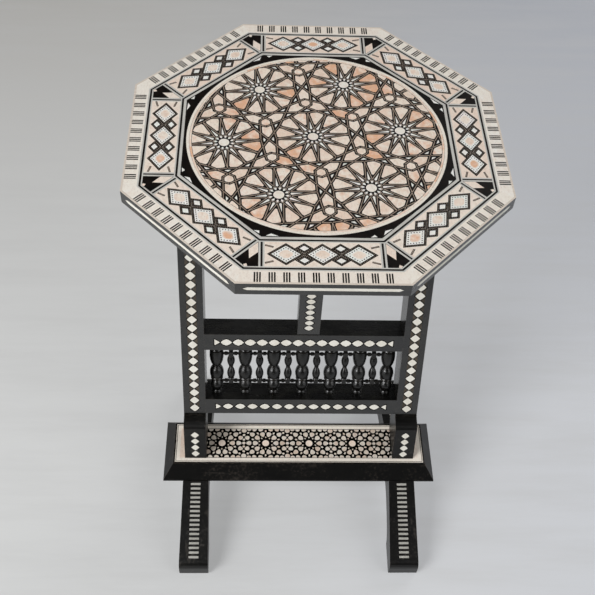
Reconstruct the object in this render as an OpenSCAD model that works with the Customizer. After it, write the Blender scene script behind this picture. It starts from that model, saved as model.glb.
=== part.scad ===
// Octagonal inlaid tilt-top side table on a raked trestle. All lengths in millimetres.
// Origin at the bottom centre of the whole table. +X is right, +Y is back, +Z is up.

/* [Top] */
// Size of the octagonal top across its flats
top_across = 400; // [320:5:480]
// Height of the top's upper face above the floor
table_height = 585; // [480:5:700]
// Thickness of the top board
top_thick = 16; // [13:0.5:20]
// Thickness of the marquetry let into the top
veneer = 1.6; // [1:0.1:2.5]
// Black lip left around the marquetry
lip = 2; // [1:0.1:3]
// Width of the lined outer border, with the lip
border_width = 17; // [14:0.5:20.5]
// Width of the stringing inside the outer border
outer_string = 5; // [4:0.5:6]
// Depth of the side panels, from outside to inside
panel_depth = 31.5; // [26:0.5:36]
// Length of a side panel over the length of the octagon's side there
panel_share = 0.91; // [0.7:0.01:0.92]
// Width of the stringing inside the side panels
inner_string = 6; // [5:0.5:8]
// Width of the pale ring around the medallion
ring_width = 3; // [2:0.5:5]
// Gap between the inner stringing and the pale ring
ring_gap = 1.8; // [1:0.1:4]
// Height of the bone strip in the rim
rim_strip_height = 4; // [3:0.2:5]
// Depth of the bone strip in the rim
rim_strip_depth = 1.2; // [0.8:0.1:2]
// Length of the bone strip over the length of the octagon's side
rim_strip_share = 0.91; // [0.5:0.01:0.95]
// Height of the bone strip's middle over the middle of the rim
rim_strip_rise = 0.2; // [-0.7:0.1:0.8]

/* [Frame] */
// Distance between the middles of the two posts
post_spacing = 292; // [245:1:350]
// Width of a post, seen from the front
post_width = 30; // [24:0.5:36]
// Depth of a post and of the rails
post_depth = 38; // [31:0.5:44]
// Backward rake of the frame in degrees
rake = 20; // [16:0.5:24]
// Height of the pivot below the underside of the top
pivot_drop = 22.5; // [20:0.5:30]
// Distance of the pivot behind the middle of the top
pivot_back = 81.8; // [60:0.2:98]
// From the front edge of the posts' feet up the frame to the lower rail
lower_rail_rise = 0.5; // [0:0.5:10]
// Height of the lower rail
lower_rail_height = 24; // [20:0.5:29]
// Clear height of the spindle gallery
gallery_height = 82; // [68:1:99]
// Height of the upper rail
upper_rail_height = 24.5; // [20:0.5:29.5]
// From the pivot down the frame to the middle of the head rail
head_rail_drop = 78; // [70:1:94]
// Depth of the head rail
head_rail_depth = 22; // [18:0.5:26]
// Thickness of the rails' tenons
tenon_thick = 10; // [8:0.5:12]
// Width of the upright centre prop
prop_width = 29; // [24:0.5:34]
// Depth of the upright centre prop
prop_depth = 24; // [20:0.5:28]
// Distance of the prop to the right of the table's middle
prop_shift = 5; // [-6:0.5:6]

/* [Inlay in the frame] */
// Depth of the lozenges and bars in the black wood
inlay_depth = 1.2; // [0.8:0.1:2]
// Width of a post lozenge
post_lozenge_width = 13; // [10:0.5:15]
// Pitch of the post lozenges
post_lozenge_pitch = 13.1; // [10.9:0.1:15.7]
// Height of a rail lozenge
rail_lozenge_height = 10; // [8:0.5:12]
// Pitch of the upper rail's lozenges
rail_lozenge_pitch = 15.7; // [13.1:0.1:18.9]
// Width of a prop lozenge
prop_lozenge_width = 12; // [10:0.2:14.4]
// Pitch of the prop lozenges
prop_lozenge_pitch = 11.1; // [9.2:0.1:13.4]
// Gap left between the tips of neighbouring lozenges
tip_gap = 0.9; // [0.5:0.1:1.5]
// Fullness of the rail and prop lozenges' sides; 0.22 makes them straight
lozenge_fullness = 0.33; // [0.24:0.01:0.4]
// Fullness of the post and shoe lozenges' sides
post_fullness = 0.26; // [0.23:0.01:0.4]

/* [Gallery] */
// Number of tall spindles
tall_count = 7; // [7:1:7]
// Largest diameter of a tall spindle
tall_diameter = 19; // [16:0.5:22]
// Largest diameter of a short spindle
short_diameter = 11; // [9:0.5:13]
// From the posts' inner faces to the middle of the outer tall spindles
end_gap = 15; // [12.5:0.5:18]
// Diameter of the small rods between the spindles
rod_diameter = 6; // [5:0.25:7.2]
// Diameter of the rods' ends in the tall spindles
rod_end_diameter = 3.6; // [3:0.1:4.4]
// Height of the lower rods over the lower rail, as a share of the gallery
lower_rod_share = 0.225; // [0.21:0.005:0.24]
// Height of the upper rods over the lower rail, as a share of the gallery
upper_rod_share = 0.775; // [0.76:0.005:0.8]

/* [Base] */
// Height of the plinth's top face above the floor
plinth_top = 93; // [80:1:112]
// Height of the plinth board and its mouldings
plinth_height = 25.5; // [22:0.5:31]
// Depth of the plinth's top face
plinth_depth = 64; // [60:1:76]
// Length of the plinth's top face beyond the outer faces of the posts, each side
plinth_reach = 16; // [13:0.5:19]
// How far the mouldings spread at the bottom
bevel_run = 14.5; // [12:0.5:18]
// Thickness of the plinth's inlay
plinth_veneer = 1.6; // [1:0.1:2.4]
// Width of the pale border around the star panel
plinth_border_width = 6.5; // [4.5:0.5:8.5]
// Height of a shoe on the plinth
shoe_height = 61.5; // [51:0.5:73]
// Depth of a shoe where it stands on the plinth
shoe_depth = 48; // [40:0.5:56]
// How far the middle of the post's foot lies behind the middle of the plinth
shoe_lead = 32; // [27:0.5:38]
// Pitch of the shoe lozenges
shoe_lozenge_pitch = 11.6; // [9.8:0.1:13]
// Length of a foot, from front to back
foot_length = 310; // [260:1:370]
// Width of a foot under the plinth
foot_width = 36; // [30:0.5:40]
// Width of a foot at its toes
toe_width = 40; // [34:0.5:46]
// Downward slope of the foot's top in degrees
foot_slope = 21; // [18:0.5:23]
// Radius of the rounded toe
toe_radius = 12; // [10:0.5:14]
// Length of the flat pad under each toe
pad_length = 44; // [37:1:52]
// Height of the arch under a foot
arch_height = 34; // [28:0.5:40]
// Number of inlaid bars on each slope
bar_count = 17; // [15:1:17]
// Pitch of the bars
bar_pitch = 6.2; // [5.2:0.1:6.4]
// Thickness of a bar
bar_thick = 2.9; // [2.4:0.1:3.4]
// Length of a bar, across the foot
bar_length = 13.5; // [11:0.5:16.5]

/* [Fastenings and catch] */
// Radius of the pivot pins
pin_radius = 5; // [4.2:0.1:6]
// Radial clearance of the pins in the battens
pin_clearance = 0.05; // [0.02:0.01:0.1]
// Depth of the pins in the posts
pin_grip = 20; // [17:0.5:24]
// Side clearance between battens and posts
side_clearance = 0.4; // [0.3:0.05:1]
// Thickness of a batten
batten_thick = 18; // [15:0.5:22]
// Height of a batten
batten_height = 36; // [34:0.5:42]
// Batten length in front of the top's middle
batten_front = 104; // [88:1:125]
// Batten length behind the pivot
batten_tail = 34; // [28:1:36]
// Radius of the screws' shanks
screw_radius = 2; // [1.7:0.1:2.4]
// Radius of the screws' heads
screw_head_radius = 4; // [3.4:0.1:4.8]
// Radius of the dowels between posts and shoes
dowel_radius = 5; // [4.2:0.1:6]
// Depth of the dowels in each piece
dowel_depth = 24; // [20:0.5:28]
// Thickness of the keeper under the top
keeper_thick = 8; // [7:0.5:9.5]
// Resting gap between the keeper and the prop's head
rest_gap = 0.1; // [0.05:0.05:0.3]
// Distance of the turn button's screw from the table's middle
button_offset = 46; // [42:0.5:54]
// Thickness of the turn button
button_thick = 8; // [7:0.5:9.5]
// Width of the turn button
button_width = 14; // [12:0.5:16]
// How deep the button's tongue reaches into the prop
tongue_reach = 6; // [5:0.25:7]
// Height of the boss above the turn button
boss_height = 13; // [11:0.5:15]
// Play of the turn button along and across its screw
button_play = 0.4; // [0.3:0.05:1]
// Room around the tongue in the prop's notch
notch_play = 1.2; // [1:0.1:2]

/* [Hidden] */
black = [0.05, 0.05, 0.05];
bone = [0.88, 0.85, 0.78];
shell = [0.86, 0.78, 0.72];
iron = [0.35, 0.34, 0.33];
beech = [0.45, 0.33, 0.22];
over = 1;

// Heights
underside = table_height - top_thick;
pivot_z = underside - pivot_drop;
plinth_bottom = plinth_top - plinth_height;
shoe_top = plinth_top + shoe_height;

// Places from front to back; the top and the base share the middle of the whole length
base_lead = pivot_back - tan(rake) * (pivot_z - shoe_top) - shoe_lead;
top_y = (foot_length / 2 - top_across / 2 - base_lead) / 2;
base_y = top_y + base_lead;
pivot_y = top_y + pivot_back;

// Distances across
post_x = post_spacing / 2;
post_in = post_x - post_width / 2;
post_out = post_x + post_width / 2;
inner_width = 2 * post_in;

// Levels down the raked frame, measured from the pivot
half_depth = post_depth / 2;
foot_level = -(pivot_z - shoe_top) / cos(rake);
foot_front_level = foot_level - half_depth * tan(rake);
lower_bottom = foot_front_level + lower_rail_rise;
lower_top = lower_bottom + lower_rail_height;
upper_bottom = lower_top + gallery_height;
upper_top = upper_bottom + upper_rail_height;
head_radius = half_depth;

// The tenons stop short of the dowels that run up the middle of the posts
tenon_length = post_width / 2 - dowel_radius - 1;

// Octagon rings of the marquetry, as distances from the middle to the flats
apothem = top_across / 2;
ring_a = apothem - lip;
ring_b = apothem - border_width;
ring_c = ring_b - outer_string;
ring_d = ring_c - panel_depth;
ring_e = ring_d - inner_string;
ring_r = ring_e - ring_gap;
disc_r = ring_r - ring_width;
side_share = 2 * tan(22.5);

// Prop, keeper and turn button
prop_front = pivot_y + sin(rake) * upper_top - cos(rake) * half_depth + 0.8;
prop_back = prop_front + prop_depth;
prop_mid = (prop_front + prop_back) / 2;
keeper_bottom = underside - keeper_thick;
prop_head = keeper_bottom - rest_gap;
button_top = keeper_bottom - boss_height - button_play;
button_bottom = button_top - button_thick;
button_y = prop_mid;
prop_side = prop_shift + prop_width / 2;
tongue_length = button_offset - prop_side + tongue_reach;
screw_bottom = button_bottom - button_play;

// Battens
batten_out = post_in - side_clearance;
batten_in = batten_out - batten_thick;
corner_limit = apothem * sqrt(2) - batten_out - 4;
batten_y0 = top_y - min(batten_front, corner_limit);
batten_y1 = min(pivot_y + batten_tail, top_y + corner_limit);

// Feet, measured from the middle of the plinth
half_foot = foot_length / 2;
slope_start = plinth_depth / 2 + bevel_run;
toe_y = -half_foot + toe_radius;
toe_tangent_y = toe_y - toe_radius * sin(foot_slope);
toe_tangent_z = plinth_bottom - (-toe_tangent_y - slope_start) * tan(foot_slope);
toe_z = toe_tangent_z - toe_radius * cos(foot_slope);
arch_half = half_foot - pad_length;
slope_length = (-toe_tangent_y - slope_start) / cos(foot_slope);
bar_first = (slope_length - (bar_count - 1) * bar_pitch) / 2;

// Gallery
tall_pitch = (inner_width - 2 * end_gap) / (tall_count - 1);
lower_rod = lower_rod_share * gallery_height;
upper_rod = upper_rod_share * gallery_height;

// Plinth
plinth_half = post_out + plinth_reach;
plinth_half_depth = plinth_depth / 2;

// Side outline of a shoe: cove under the post, then a straight slope for the lozenges
shoe_back_top = base_y + shoe_lead + half_depth / cos(rake);
shoe_front_top = base_y + shoe_lead - half_depth / cos(rake) - 2;
shoe_front = base_y - shoe_depth / 2;
shoe_back = base_y + shoe_depth / 2;
cove_height = shoe_height * 0.2;
cove_y = shoe_front + (shoe_front_top - shoe_front) * 0.46;
cove_z = shoe_top - cove_height;
shoe_slope_run = cove_y - shoe_front;
shoe_slope_rise = cove_z - plinth_top;
shoe_slope = atan2(shoe_slope_run, shoe_slope_rise);
shoe_slope_length = norm([shoe_slope_run, shoe_slope_rise]);
shoe_lozenge_count = floor((shoe_slope_length - 2) / shoe_lozenge_pitch);

// Lozenge rows
post_row_start = foot_front_level + 3;
post_row_length = -post_row_start - head_radius - 12;
post_lozenge_count = floor(post_row_length / post_lozenge_pitch);
upper_lozenge_count = floor((inner_width - 16) / rail_lozenge_pitch) - 1;
lower_lozenge_pitch = rail_lozenge_pitch * 1.067;
lower_lozenge_count = floor((inner_width - 28) / lower_lozenge_pitch);
lower_tip_gap = 3 * tip_gap;
prop_foot_front = pivot_z + cos(rake) * upper_top + sin(rake) * (half_depth - 0.8 / cos(rake));
prop_row_length = prop_head - prop_foot_front - boss_height - button_thick - 18;
prop_lozenge_count = floor(prop_row_length / prop_lozenge_pitch);

// A flat outline given as [y, z], drawn out to a width along X
module side_board(width, points) {
  rotate([90, 0, 90])
    linear_extrude(height = width, center = true)
      polygon(points);
}

// Moves to the raked frame: origin at the pivot, local Z up the posts, local Y into their depth
module raked() {
  translate([0, pivot_y, pivot_z])
    rotate([-rake, 0, 0])
      children();
}

// Lozenge plate let into a face that looks along -Y, from that face inwards
module lozenge(across, along, fullness, depth, proud) {
  half = [across / 2, along / 2];
  full = [across * 0.28, along * fullness];
  translate([0, depth, 0])
    rotate([90, 0, 0])
      linear_extrude(height = depth + proud)
        polygon([[half[0], 0], full, [0, half[1]], [-full[0], full[1]],
          [-half[0], 0], -full, [0, -half[1]], [full[0], -full[1]]]);
}

// Half lozenge that ends a row, with its point along +X
module half_lozenge(length, height, depth, proud) {
  translate([0, depth, 0])
    rotate([90, 0, 0])
      linear_extrude(height = depth + proud)
        polygon([[0, height / 2], [length * 0.44, height * lozenge_fullness], [length, 0],
          [length * 0.44, -height * lozenge_fullness], [0, -height / 2]]);
}

// Octagon with its flats square to X and Y
module octagon(flat) {
  rotate([0, 0, 22.5])
    circle(r = flat / cos(22.5), $fn = 8);
}

// Ring of marquetry between two octagons
module octagon_ring(outside, inside) {
  translate([0, top_y, table_height - veneer])
    linear_extrude(height = veneer)
      difference() {
        octagon(outside);
        octagon(inside);
      }
}

// One side panel; more makes it deeper, to cut the corner fields right through
module panel_outline(side, more) {
  length = panel_share * side_share * ring_d;
  rotate([0, 0, 45 * side])
    translate([0, -(ring_c + ring_d) / 2])
      square([length, panel_depth + more], center = true);
}

// Turned bulge between two heights: [radius, height] points on a smooth swell
function swell(z0, z1, neck, belly) =
  [for (i = [0 : 7]) [neck + (belly - neck) * sin(180 * (i + 0.5) / 8), z0 + (z1 - z0) * (i + 0.5) / 8]];

// Tall spindle outline, from the lower rail to the upper rail: foot bead, bulb, rings, vase, neck
// bead, cup and head rings
tall_half = tall_diameter / 2;
g = gallery_height;
tall_profile = concat(
  [[0, 0], [tall_half * 0.66, 0], [tall_half * 0.74, 0.025 * g], [tall_half * 0.66, 0.05 * g]],
  [[tall_half * 0.6, 0.06 * g]],
  swell(0.065 * g, 0.275 * g, tall_half * 0.58, tall_half * 0.92),
  [[tall_half * 0.8, 0.28 * g], [tall_half * 0.88, 0.29 * g], [tall_half * 0.8, 0.3 * g]],
  [[tall_half * 0.88, 0.31 * g], [tall_half * 0.82, 0.32 * g]],
  [for (i = [0 : 8]) let (t = i / 8)
    [tall_half * (0.48 + 0.52 * pow(sin(40 + 136 * t), 0.55)), (0.33 + 0.205 * t) * g]],
  [[tall_half * 0.54, 0.54 * g], [tall_half * 0.6, 0.548 * g], [tall_half * 0.54, 0.556 * g]],
  [for (i = [0 : 8]) let (t = i / 8)
    [tall_half * (0.48 + 0.52 * pow(sin(4 + 126 * t), 0.55)), (0.561 + 0.289 * t) * g]],
  [[tall_half * 0.8, 0.86 * g], [tall_half * 0.86, 0.875 * g], [tall_half * 0.8, 0.89 * g]],
  [[tall_half * 0.7, 0.9 * g], [tall_half * 0.76, 0.94 * g], [tall_half * 0.7, g], [0, g]]);

// Short spindle outline, from the lower rods to the upper rods: foot bead and two vases about a waist
short_low = lower_rod + rod_diameter / 2;
short_high = upper_rod - rod_diameter / 2;
s = short_high - short_low;
short_half = short_diameter / 2;
short_profile = concat(
  [[0, 0], [short_half * 0.62, 0], [short_half * 0.74, 0.035 * s], [short_half * 0.62, 0.07 * s]],
  [for (i = [0 : 8]) let (t = i / 8)
    [short_half * (0.46 + 0.54 * sin(30 + 148 * t)), (0.09 + 0.42 * t) * s]],
  [[short_half * 0.44, 0.525 * s], [short_half * 0.54, 0.54 * s], [short_half * 0.44, 0.555 * s]],
  [for (i = [0 : 8]) let (t = i / 8)
    [short_half * (0.46 + 0.5 * sin(6 + 134 * t)), (0.57 + 0.36 * t) * s]],
  [[short_half * 0.64, 0.945 * s], [short_half * 0.64, s], [0, s]]);

// Centre line of tall spindle i, counted from 1
function tall_x(i) = -inner_width / 2 + end_gap + (i - 1) * tall_pitch;

module tall_spindle(i) {
  color(black)
    raked()
      translate([tall_x(i), 0, lower_top])
        difference() {
          rotate_extrude($fn = 40)
            polygon(tall_profile);
          for (level = [lower_rod, upper_rod])
            translate([-tall_diameter, 0, level])
              rotate([0, 90, 0])
                cylinder(h = 2 * tall_diameter, r = rod_end_diameter / 2, $fn = 24);
        }
}

module short_spindle(i) {
  color(black)
    raked()
      translate([tall_x(i) + tall_pitch / 2, 0, lower_top + short_low])
        rotate_extrude($fn = 32)
          polygon(short_profile);
}

// Turned rod along X between two tall spindles, with a flat-sided block that carries a short spindle
module lattice_rod(reach) {
  rotate([0, 90, 0])
    cylinder(h = reach, r = rod_end_diameter / 2, center = true, $fn = 24);
  for (side = [-1, 1])
    translate([side * (rod_diameter / 2 + 3.4), 0, 0])
      rotate([0, 90, 0])
        cylinder(h = 4, r = rod_diameter * 0.45, center = true, $fn = 24);
  cube([rod_diameter, rod_diameter, rod_diameter], center = true);
}

// All the rods of one level, one between each two tall spindles
module rod_row(level) {
  raked()
    translate([0, 0, lower_top + level])
      for (i = [1 : tall_count - 1])
        translate([tall_x(i) + tall_pitch / 2, 0, 0])
          lattice_rod(tall_pitch - 2);
}

module upper_rods() {
  color(black)
    rod_row(upper_rod);
}

module lower_rods() {
  color(black)
    rod_row(lower_rod);
}

// Half outline of a foot: rounded toe, then the pad and half of the arch underneath
front_toe = concat(
  [[-slope_start, plinth_bottom]],
  [for (a = [0 : 4]) let (t = 90 + foot_slope + a * (90 - foot_slope) / 4)
    [toe_y + toe_radius * cos(t), toe_z + toe_radius * sin(t)]],
  [[-half_foot, 3], [-half_foot + 3, 0]],
  [for (a = [0 : 9]) [-arch_half * cos(a * 10), arch_height * sin(a * 10)]]);
back_toe = [for (i = [len(front_toe) - 2 : -1 : 0]) [-front_toe[i][0], front_toe[i][1]]];

// Seat of one bar on a slope; end is -1 for the front and 1 for the back
module bar_seat(i, end, proud) {
  run = bar_first + i * bar_pitch;
  translate([0, end * (slope_start + run * cos(foot_slope)), plinth_bottom - run * sin(foot_slope)])
    rotate([-end * foot_slope, 0, 0])
      translate([-bar_length / 2, -bar_thick / 2, -inlay_depth])
        cube([bar_length, bar_thick, inlay_depth + proud]);
}

module bar_row(proud) {
  for (end = [-1, 1])
    for (i = [0 : bar_count - 1])
      bar_seat(i, end, proud);
}

// Places of the two screws in a foot
module foot_screw_places() {
  for (y = [-plinth_half_depth * 0.6, plinth_half_depth * 0.6])
    translate([0, y, 0])
      children();
}

screw_seat = arch_height + 6;
foot_screw_tip = plinth_top - 9;

module foot(side) {
  color(black)
    translate([side * post_x, base_y, 0])
      difference() {
        intersection() {
          side_board(toe_width + 2, concat(front_toe, back_toe));
          linear_extrude(height = plinth_top)
            polygon([[-toe_width / 2, -half_foot - over], [toe_width / 2, -half_foot - over],
              [foot_width / 2, -slope_start], [foot_width / 2, slope_start],
              [toe_width / 2, half_foot + over], [-toe_width / 2, half_foot + over],
              [-foot_width / 2, slope_start], [-foot_width / 2, -slope_start]]);
        }
        bar_row(over);
        foot_screw_places() {
          cylinder(h = screw_seat, r = screw_head_radius, $fn = 32);
          cylinder(h = plinth_top, r = screw_radius, $fn = 24);
        }
      }
}

module foot_left() {
  foot(-1);
}

module foot_right() {
  foot(1);
}

module foot_bars() {
  color(bone)
    for (side = [-1, 1])
      translate([side * post_x, base_y, 0])
        bar_row(0);
}

module foot_screws() {
  color(iron)
    for (side = [-1, 1])
      translate([side * post_x, base_y, 0])
        foot_screw_places() {
          translate([0, 0, screw_seat - 3])
            cylinder(h = 3, r = screw_head_radius, $fn = 32);
          translate([0, 0, screw_seat - 1])
            cylinder(h = foot_screw_tip - screw_seat + 1, r = screw_radius, $fn = 24);
        }
}

module plinth_board() {
  color(black)
    difference() {
      translate([-plinth_half, base_y - plinth_half_depth, plinth_bottom])
        cube([2 * plinth_half, plinth_depth, plinth_height]);
      translate([-plinth_half + lip, base_y - plinth_half_depth + lip, plinth_top - plinth_veneer])
        cube([2 * plinth_half - 2 * lip, plinth_depth - 2 * lip, plinth_veneer + over]);
      for (side = [-1, 1])
        translate([side * post_x, base_y, 0])
          foot_screw_places()
            cylinder(h = foot_screw_tip, r = screw_radius, $fn = 24);
    }
}

// Mitred bevel along X; end is -1 for the front and 1 for the back
module long_moulding(end) {
  a = plinth_half;
  b = plinth_half + bevel_run;
  y0 = base_y + end * plinth_half_depth;
  y1 = y0 + end * bevel_run;
  points = [[-a, y0, plinth_bottom], [a, y0, plinth_bottom], [a, y0, plinth_top],
    [-a, y0, plinth_top], [-b, y1, plinth_bottom], [b, y1, plinth_bottom],
    [b, y1, plinth_bottom + 3], [-b, y1, plinth_bottom + 3]];
  front_faces = [[3, 2, 1, 0], [0, 1, 5, 4], [4, 5, 6, 7], [7, 6, 2, 3], [0, 4, 7, 3], [1, 2, 6, 5]];
  back_faces = [for (f = front_faces) [f[3], f[2], f[1], f[0]]];
  polyhedron(points = points, faces = end < 0 ? back_faces : front_faces);
}

// Mitred bevel along Y; end is -1 for the left and 1 for the right
module short_moulding(end) {
  a = plinth_half_depth;
  b = plinth_half_depth + bevel_run;
  x0 = end * plinth_half;
  x1 = x0 + end * bevel_run;
  points = [[x0, base_y - a, plinth_bottom], [x0, base_y + a, plinth_bottom],
    [x0, base_y + a, plinth_top], [x0, base_y - a, plinth_top],
    [x1, base_y - b, plinth_bottom], [x1, base_y + b, plinth_bottom],
    [x1, base_y + b, plinth_bottom + 3], [x1, base_y - b, plinth_bottom + 3]];
  left_faces = [[3, 2, 1, 0], [0, 1, 5, 4], [4, 5, 6, 7], [7, 6, 2, 3], [0, 4, 7, 3], [1, 2, 6, 5]];
  right_faces = [for (f = left_faces) [f[3], f[2], f[1], f[0]]];
  polyhedron(points = points, faces = end < 0 ? left_faces : right_faces);
}

module plinth_moulding_front() {
  color(black)
    long_moulding(-1);
}

module plinth_moulding_back() {
  color(black)
    long_moulding(1);
}

module plinth_moulding_left() {
  color(black)
    short_moulding(-1);
}

module plinth_moulding_right() {
  color(black)
    short_moulding(1);
}

// The star panel fills the border, as wide as the gap between the border's inner edges
panel_half = plinth_half - lip - plinth_border_width;
panel_half_depth = plinth_half_depth - lip - plinth_border_width;

module plinth_border() {
  color(shell)
    translate([0, base_y, plinth_top - plinth_veneer])
      linear_extrude(height = plinth_veneer)
        difference() {
          square([2 * plinth_half - 2 * lip, plinth_depth - 2 * lip], center = true);
          square([2 * panel_half, 2 * panel_half_depth], center = true);
        }
}

module plinth_star_panel() {
  color(shell)
    translate([-panel_half, base_y - panel_half_depth, plinth_top - plinth_veneer])
      cube([2 * panel_half, 2 * panel_half_depth, plinth_veneer]);
}

shoe_points = concat(
  [[shoe_front, plinth_top], [cove_y, cove_z]],
  [for (a = [1 : 5]) [cove_y + (shoe_front_top - cove_y) * (1 - cos(a * 15)),
    cove_z + (cove_height - 2) * sin(a * 15)]],
  [[shoe_front_top, shoe_top - 2], [shoe_front_top, shoe_top],
    [shoe_back_top, shoe_top], [shoe_back, plinth_top]]);

module shoe_lozenge_row(proud) {
  first = (shoe_slope_length - (shoe_lozenge_count - 1) * shoe_lozenge_pitch) / 2;
  translate([0, shoe_front, plinth_top])
    rotate([-shoe_slope, 0, 0])
      for (i = [0 : shoe_lozenge_count - 1])
        translate([0, 0, first + i * shoe_lozenge_pitch])
          lozenge(post_lozenge_width * 0.86, shoe_lozenge_pitch - tip_gap, post_fullness, inlay_depth,
            proud);
}

// Dowel along the post, half in the post and half in the shoe
module dowel(radius) {
  raked()
    translate([0, 0, (shoe_top - pivot_z) / cos(rake) - dowel_depth])
      cylinder(h = 2 * dowel_depth, r = radius, $fn = 32);
}

module shoe(side) {
  color(black)
    translate([side * post_x, 0, 0])
      difference() {
        side_board(post_width, shoe_points);
        shoe_lozenge_row(over);
        dowel(dowel_radius);
      }
}

module shoe_left() {
  shoe(-1);
}

module shoe_right() {
  shoe(1);
}

module shoe_lozenges() {
  color(bone)
    for (side = [-1, 1])
      translate([side * post_x, 0, 0])
        shoe_lozenge_row(0);
}

module post_dowels() {
  color(beech)
    for (side = [-1, 1])
      translate([side * post_x, 0, 0])
        dowel(dowel_radius);
}

// Row of lozenges up the front of a post, in the raked frame
module post_lozenge_row(proud) {
  for (i = [0 : post_lozenge_count - 1])
    translate([0, -half_depth, post_row_start + (i + 0.5) * post_lozenge_pitch])
      lozenge(post_lozenge_width, post_lozenge_pitch - tip_gap, post_fullness, inlay_depth, proud);
}

// Side outline of a post below its rounded head; the foot is cut level on the shoe
post_foot_y = base_y + shoe_lead;
foot_half_run = half_depth / cos(rake);
post_points = [[post_foot_y - foot_half_run, shoe_top], [post_foot_y + foot_half_run, shoe_top],
  [pivot_y + half_depth * cos(rake), pivot_z - half_depth * sin(rake)],
  [pivot_y - half_depth * cos(rake), pivot_z + half_depth * sin(rake)]];

// Mortise or tenon of one rail, in the raked frame; it stays clear of the level cut at the post's foot
module rail_tenon(bottom, height, side) {
  low = max(bottom + height * 0.3, foot_level + tan(rake) * tenon_thick / 2 + 1);
  high = bottom + height * 0.8;
  translate([side * (post_in + tenon_length / 2), 0, (low + high) / 2])
    cube([tenon_length, tenon_thick, high - low], center = true);
}

head_rail_height = upper_rail_height;
head_rail_bottom = -head_rail_drop - head_rail_height / 2;

module post(side) {
  color(black)
    difference() {
      union() {
        translate([side * post_x, 0, 0])
          side_board(post_width, post_points);
        translate([side * post_x, pivot_y, pivot_z])
          rotate([0, 90, 0])
            cylinder(h = post_width, r = head_radius, center = true, $fn = 64);
      }
      raked() {
        translate([side * post_x, 0, 0])
          post_lozenge_row(over);
        rail_tenon(upper_bottom, upper_rail_height, side);
        rail_tenon(lower_bottom, lower_rail_height, side);
        rail_tenon(head_rail_bottom, head_rail_height, side);
      }
      translate([side * post_x, 0, 0])
        dowel(dowel_radius);
      translate([side * (post_in + pin_grip / 2 - over / 2), pivot_y, pivot_z])
        rotate([0, 90, 0])
          cylinder(h = pin_grip + over, r = pin_radius, center = true, $fn = 40);
    }
}

module post_left() {
  post(-1);
}

module post_right() {
  post(1);
}

module post_lozenges() {
  color(bone)
    raked()
      for (side = [-1, 1])
        translate([side * post_x, 0, 0])
          post_lozenge_row(0);
}

module pivot_pins() {
  length = pin_grip + side_clearance + batten_thick - 2;
  color(iron)
    for (side = [-1, 1])
      translate([side * (post_in + pin_grip - length / 2), pivot_y, pivot_z])
        rotate([0, 90, 0])
          cylinder(h = length, r = pin_radius, center = true, $fn = 40);
}

// A rail with its two tenons, in the raked frame
module rail_body(bottom, height, depth) {
  translate([-post_in, -depth / 2, bottom])
    cube([inner_width, depth, height]);
  for (side = [-1, 1])
    rail_tenon(bottom, height, side);
}

// Row of lozenges along a rail, with half lozenges at its ends
module rail_lozenge_row(count, pitch, gap, middle, height, proud) {
  for (i = [0 : count - 1])
    translate([(i - (count - 1) / 2) * pitch, -half_depth, middle])
      lozenge(pitch - gap, height, lozenge_fullness, inlay_depth, proud);
  for (side = [-1, 1])
    translate([side * (count / 2 + 0.48) * pitch, -half_depth, middle])
      rotate([0, side < 0 ? 0 : 180, 0])
        half_lozenge(pitch * 0.48 - gap / 2, height * 0.9, inlay_depth, proud);
}

upper_middle = upper_bottom + upper_rail_height / 2;
lower_middle = lower_bottom + lower_rail_height / 2;

module upper_lozenge_row(proud) {
  rail_lozenge_row(upper_lozenge_count, rail_lozenge_pitch, tip_gap, upper_middle,
    rail_lozenge_height, proud);
}

module lower_lozenge_row(proud) {
  rail_lozenge_row(lower_lozenge_count, lower_lozenge_pitch, lower_tip_gap, lower_middle,
    rail_lozenge_height * 0.9, proud);
}

module upper_rail() {
  color(black)
    raked()
      difference() {
        rail_body(upper_bottom, upper_rail_height, post_depth);
        upper_lozenge_row(over);
      }
}

module upper_rail_lozenges() {
  color(bone)
    raked()
      upper_lozenge_row(0);
}

module lower_rail() {
  color(black)
    raked()
      difference() {
        rail_body(lower_bottom, lower_rail_height, post_depth);
        lower_lozenge_row(over);
      }
}

module lower_rail_lozenges() {
  color(bone)
    raked()
      lower_lozenge_row(0);
}

module head_rail() {
  color(black)
    raked()
      rail_body(head_rail_bottom, head_rail_height, head_rail_depth);
}

// Height of the upper rail's sloping top at a given Y
function rail_top_z(y) =
  pivot_z + (upper_top - sin(rake) * (y - pivot_y)) / cos(rake);

module prop_lozenge_row(proud) {
  for (i = [0 : prop_lozenge_count - 1])
    translate([prop_shift, prop_front, rail_top_z(prop_front) + 9.5 + (i + 0.5) * prop_lozenge_pitch])
      lozenge(prop_lozenge_width, prop_lozenge_pitch - tip_gap, lozenge_fullness, inlay_depth, proud);
}

module centre_prop() {
  color(black)
    difference() {
      translate([prop_shift, 0, 0])
        side_board(prop_width, [[prop_front, rail_top_z(prop_front)], [prop_back, rail_top_z(prop_back)],
          [prop_back, prop_head], [prop_front, prop_head]]);
      prop_lozenge_row(over);
      translate([prop_side - tongue_reach - notch_play, button_y - button_width / 2 - notch_play,
        button_bottom - notch_play])
        cube([tongue_reach + notch_play + over, prop_depth, button_thick + 2 * notch_play]);
    }
}

module prop_lozenges() {
  color(bone)
    prop_lozenge_row(0);
}

// Bone strip in the middle of one side of the rim, with pointed ends
module rim_strip(side, proud) {
  half = rim_strip_share * side_share * apothem / 2;
  h = rim_strip_height / 2;
  translate([0, top_y, underside + top_thick / 2 + rim_strip_rise])
    rotate([0, 0, 45 * side])
      translate([0, -apothem + rim_strip_depth, 0])
        rotate([90, 0, 0])
          linear_extrude(height = rim_strip_depth + proud)
            polygon([[-half, 0], [-half + 2 * h, -h], [half - 2 * h, -h], [half, 0],
              [half - 2 * h, h], [-half + 2 * h, h]]);
}

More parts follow.
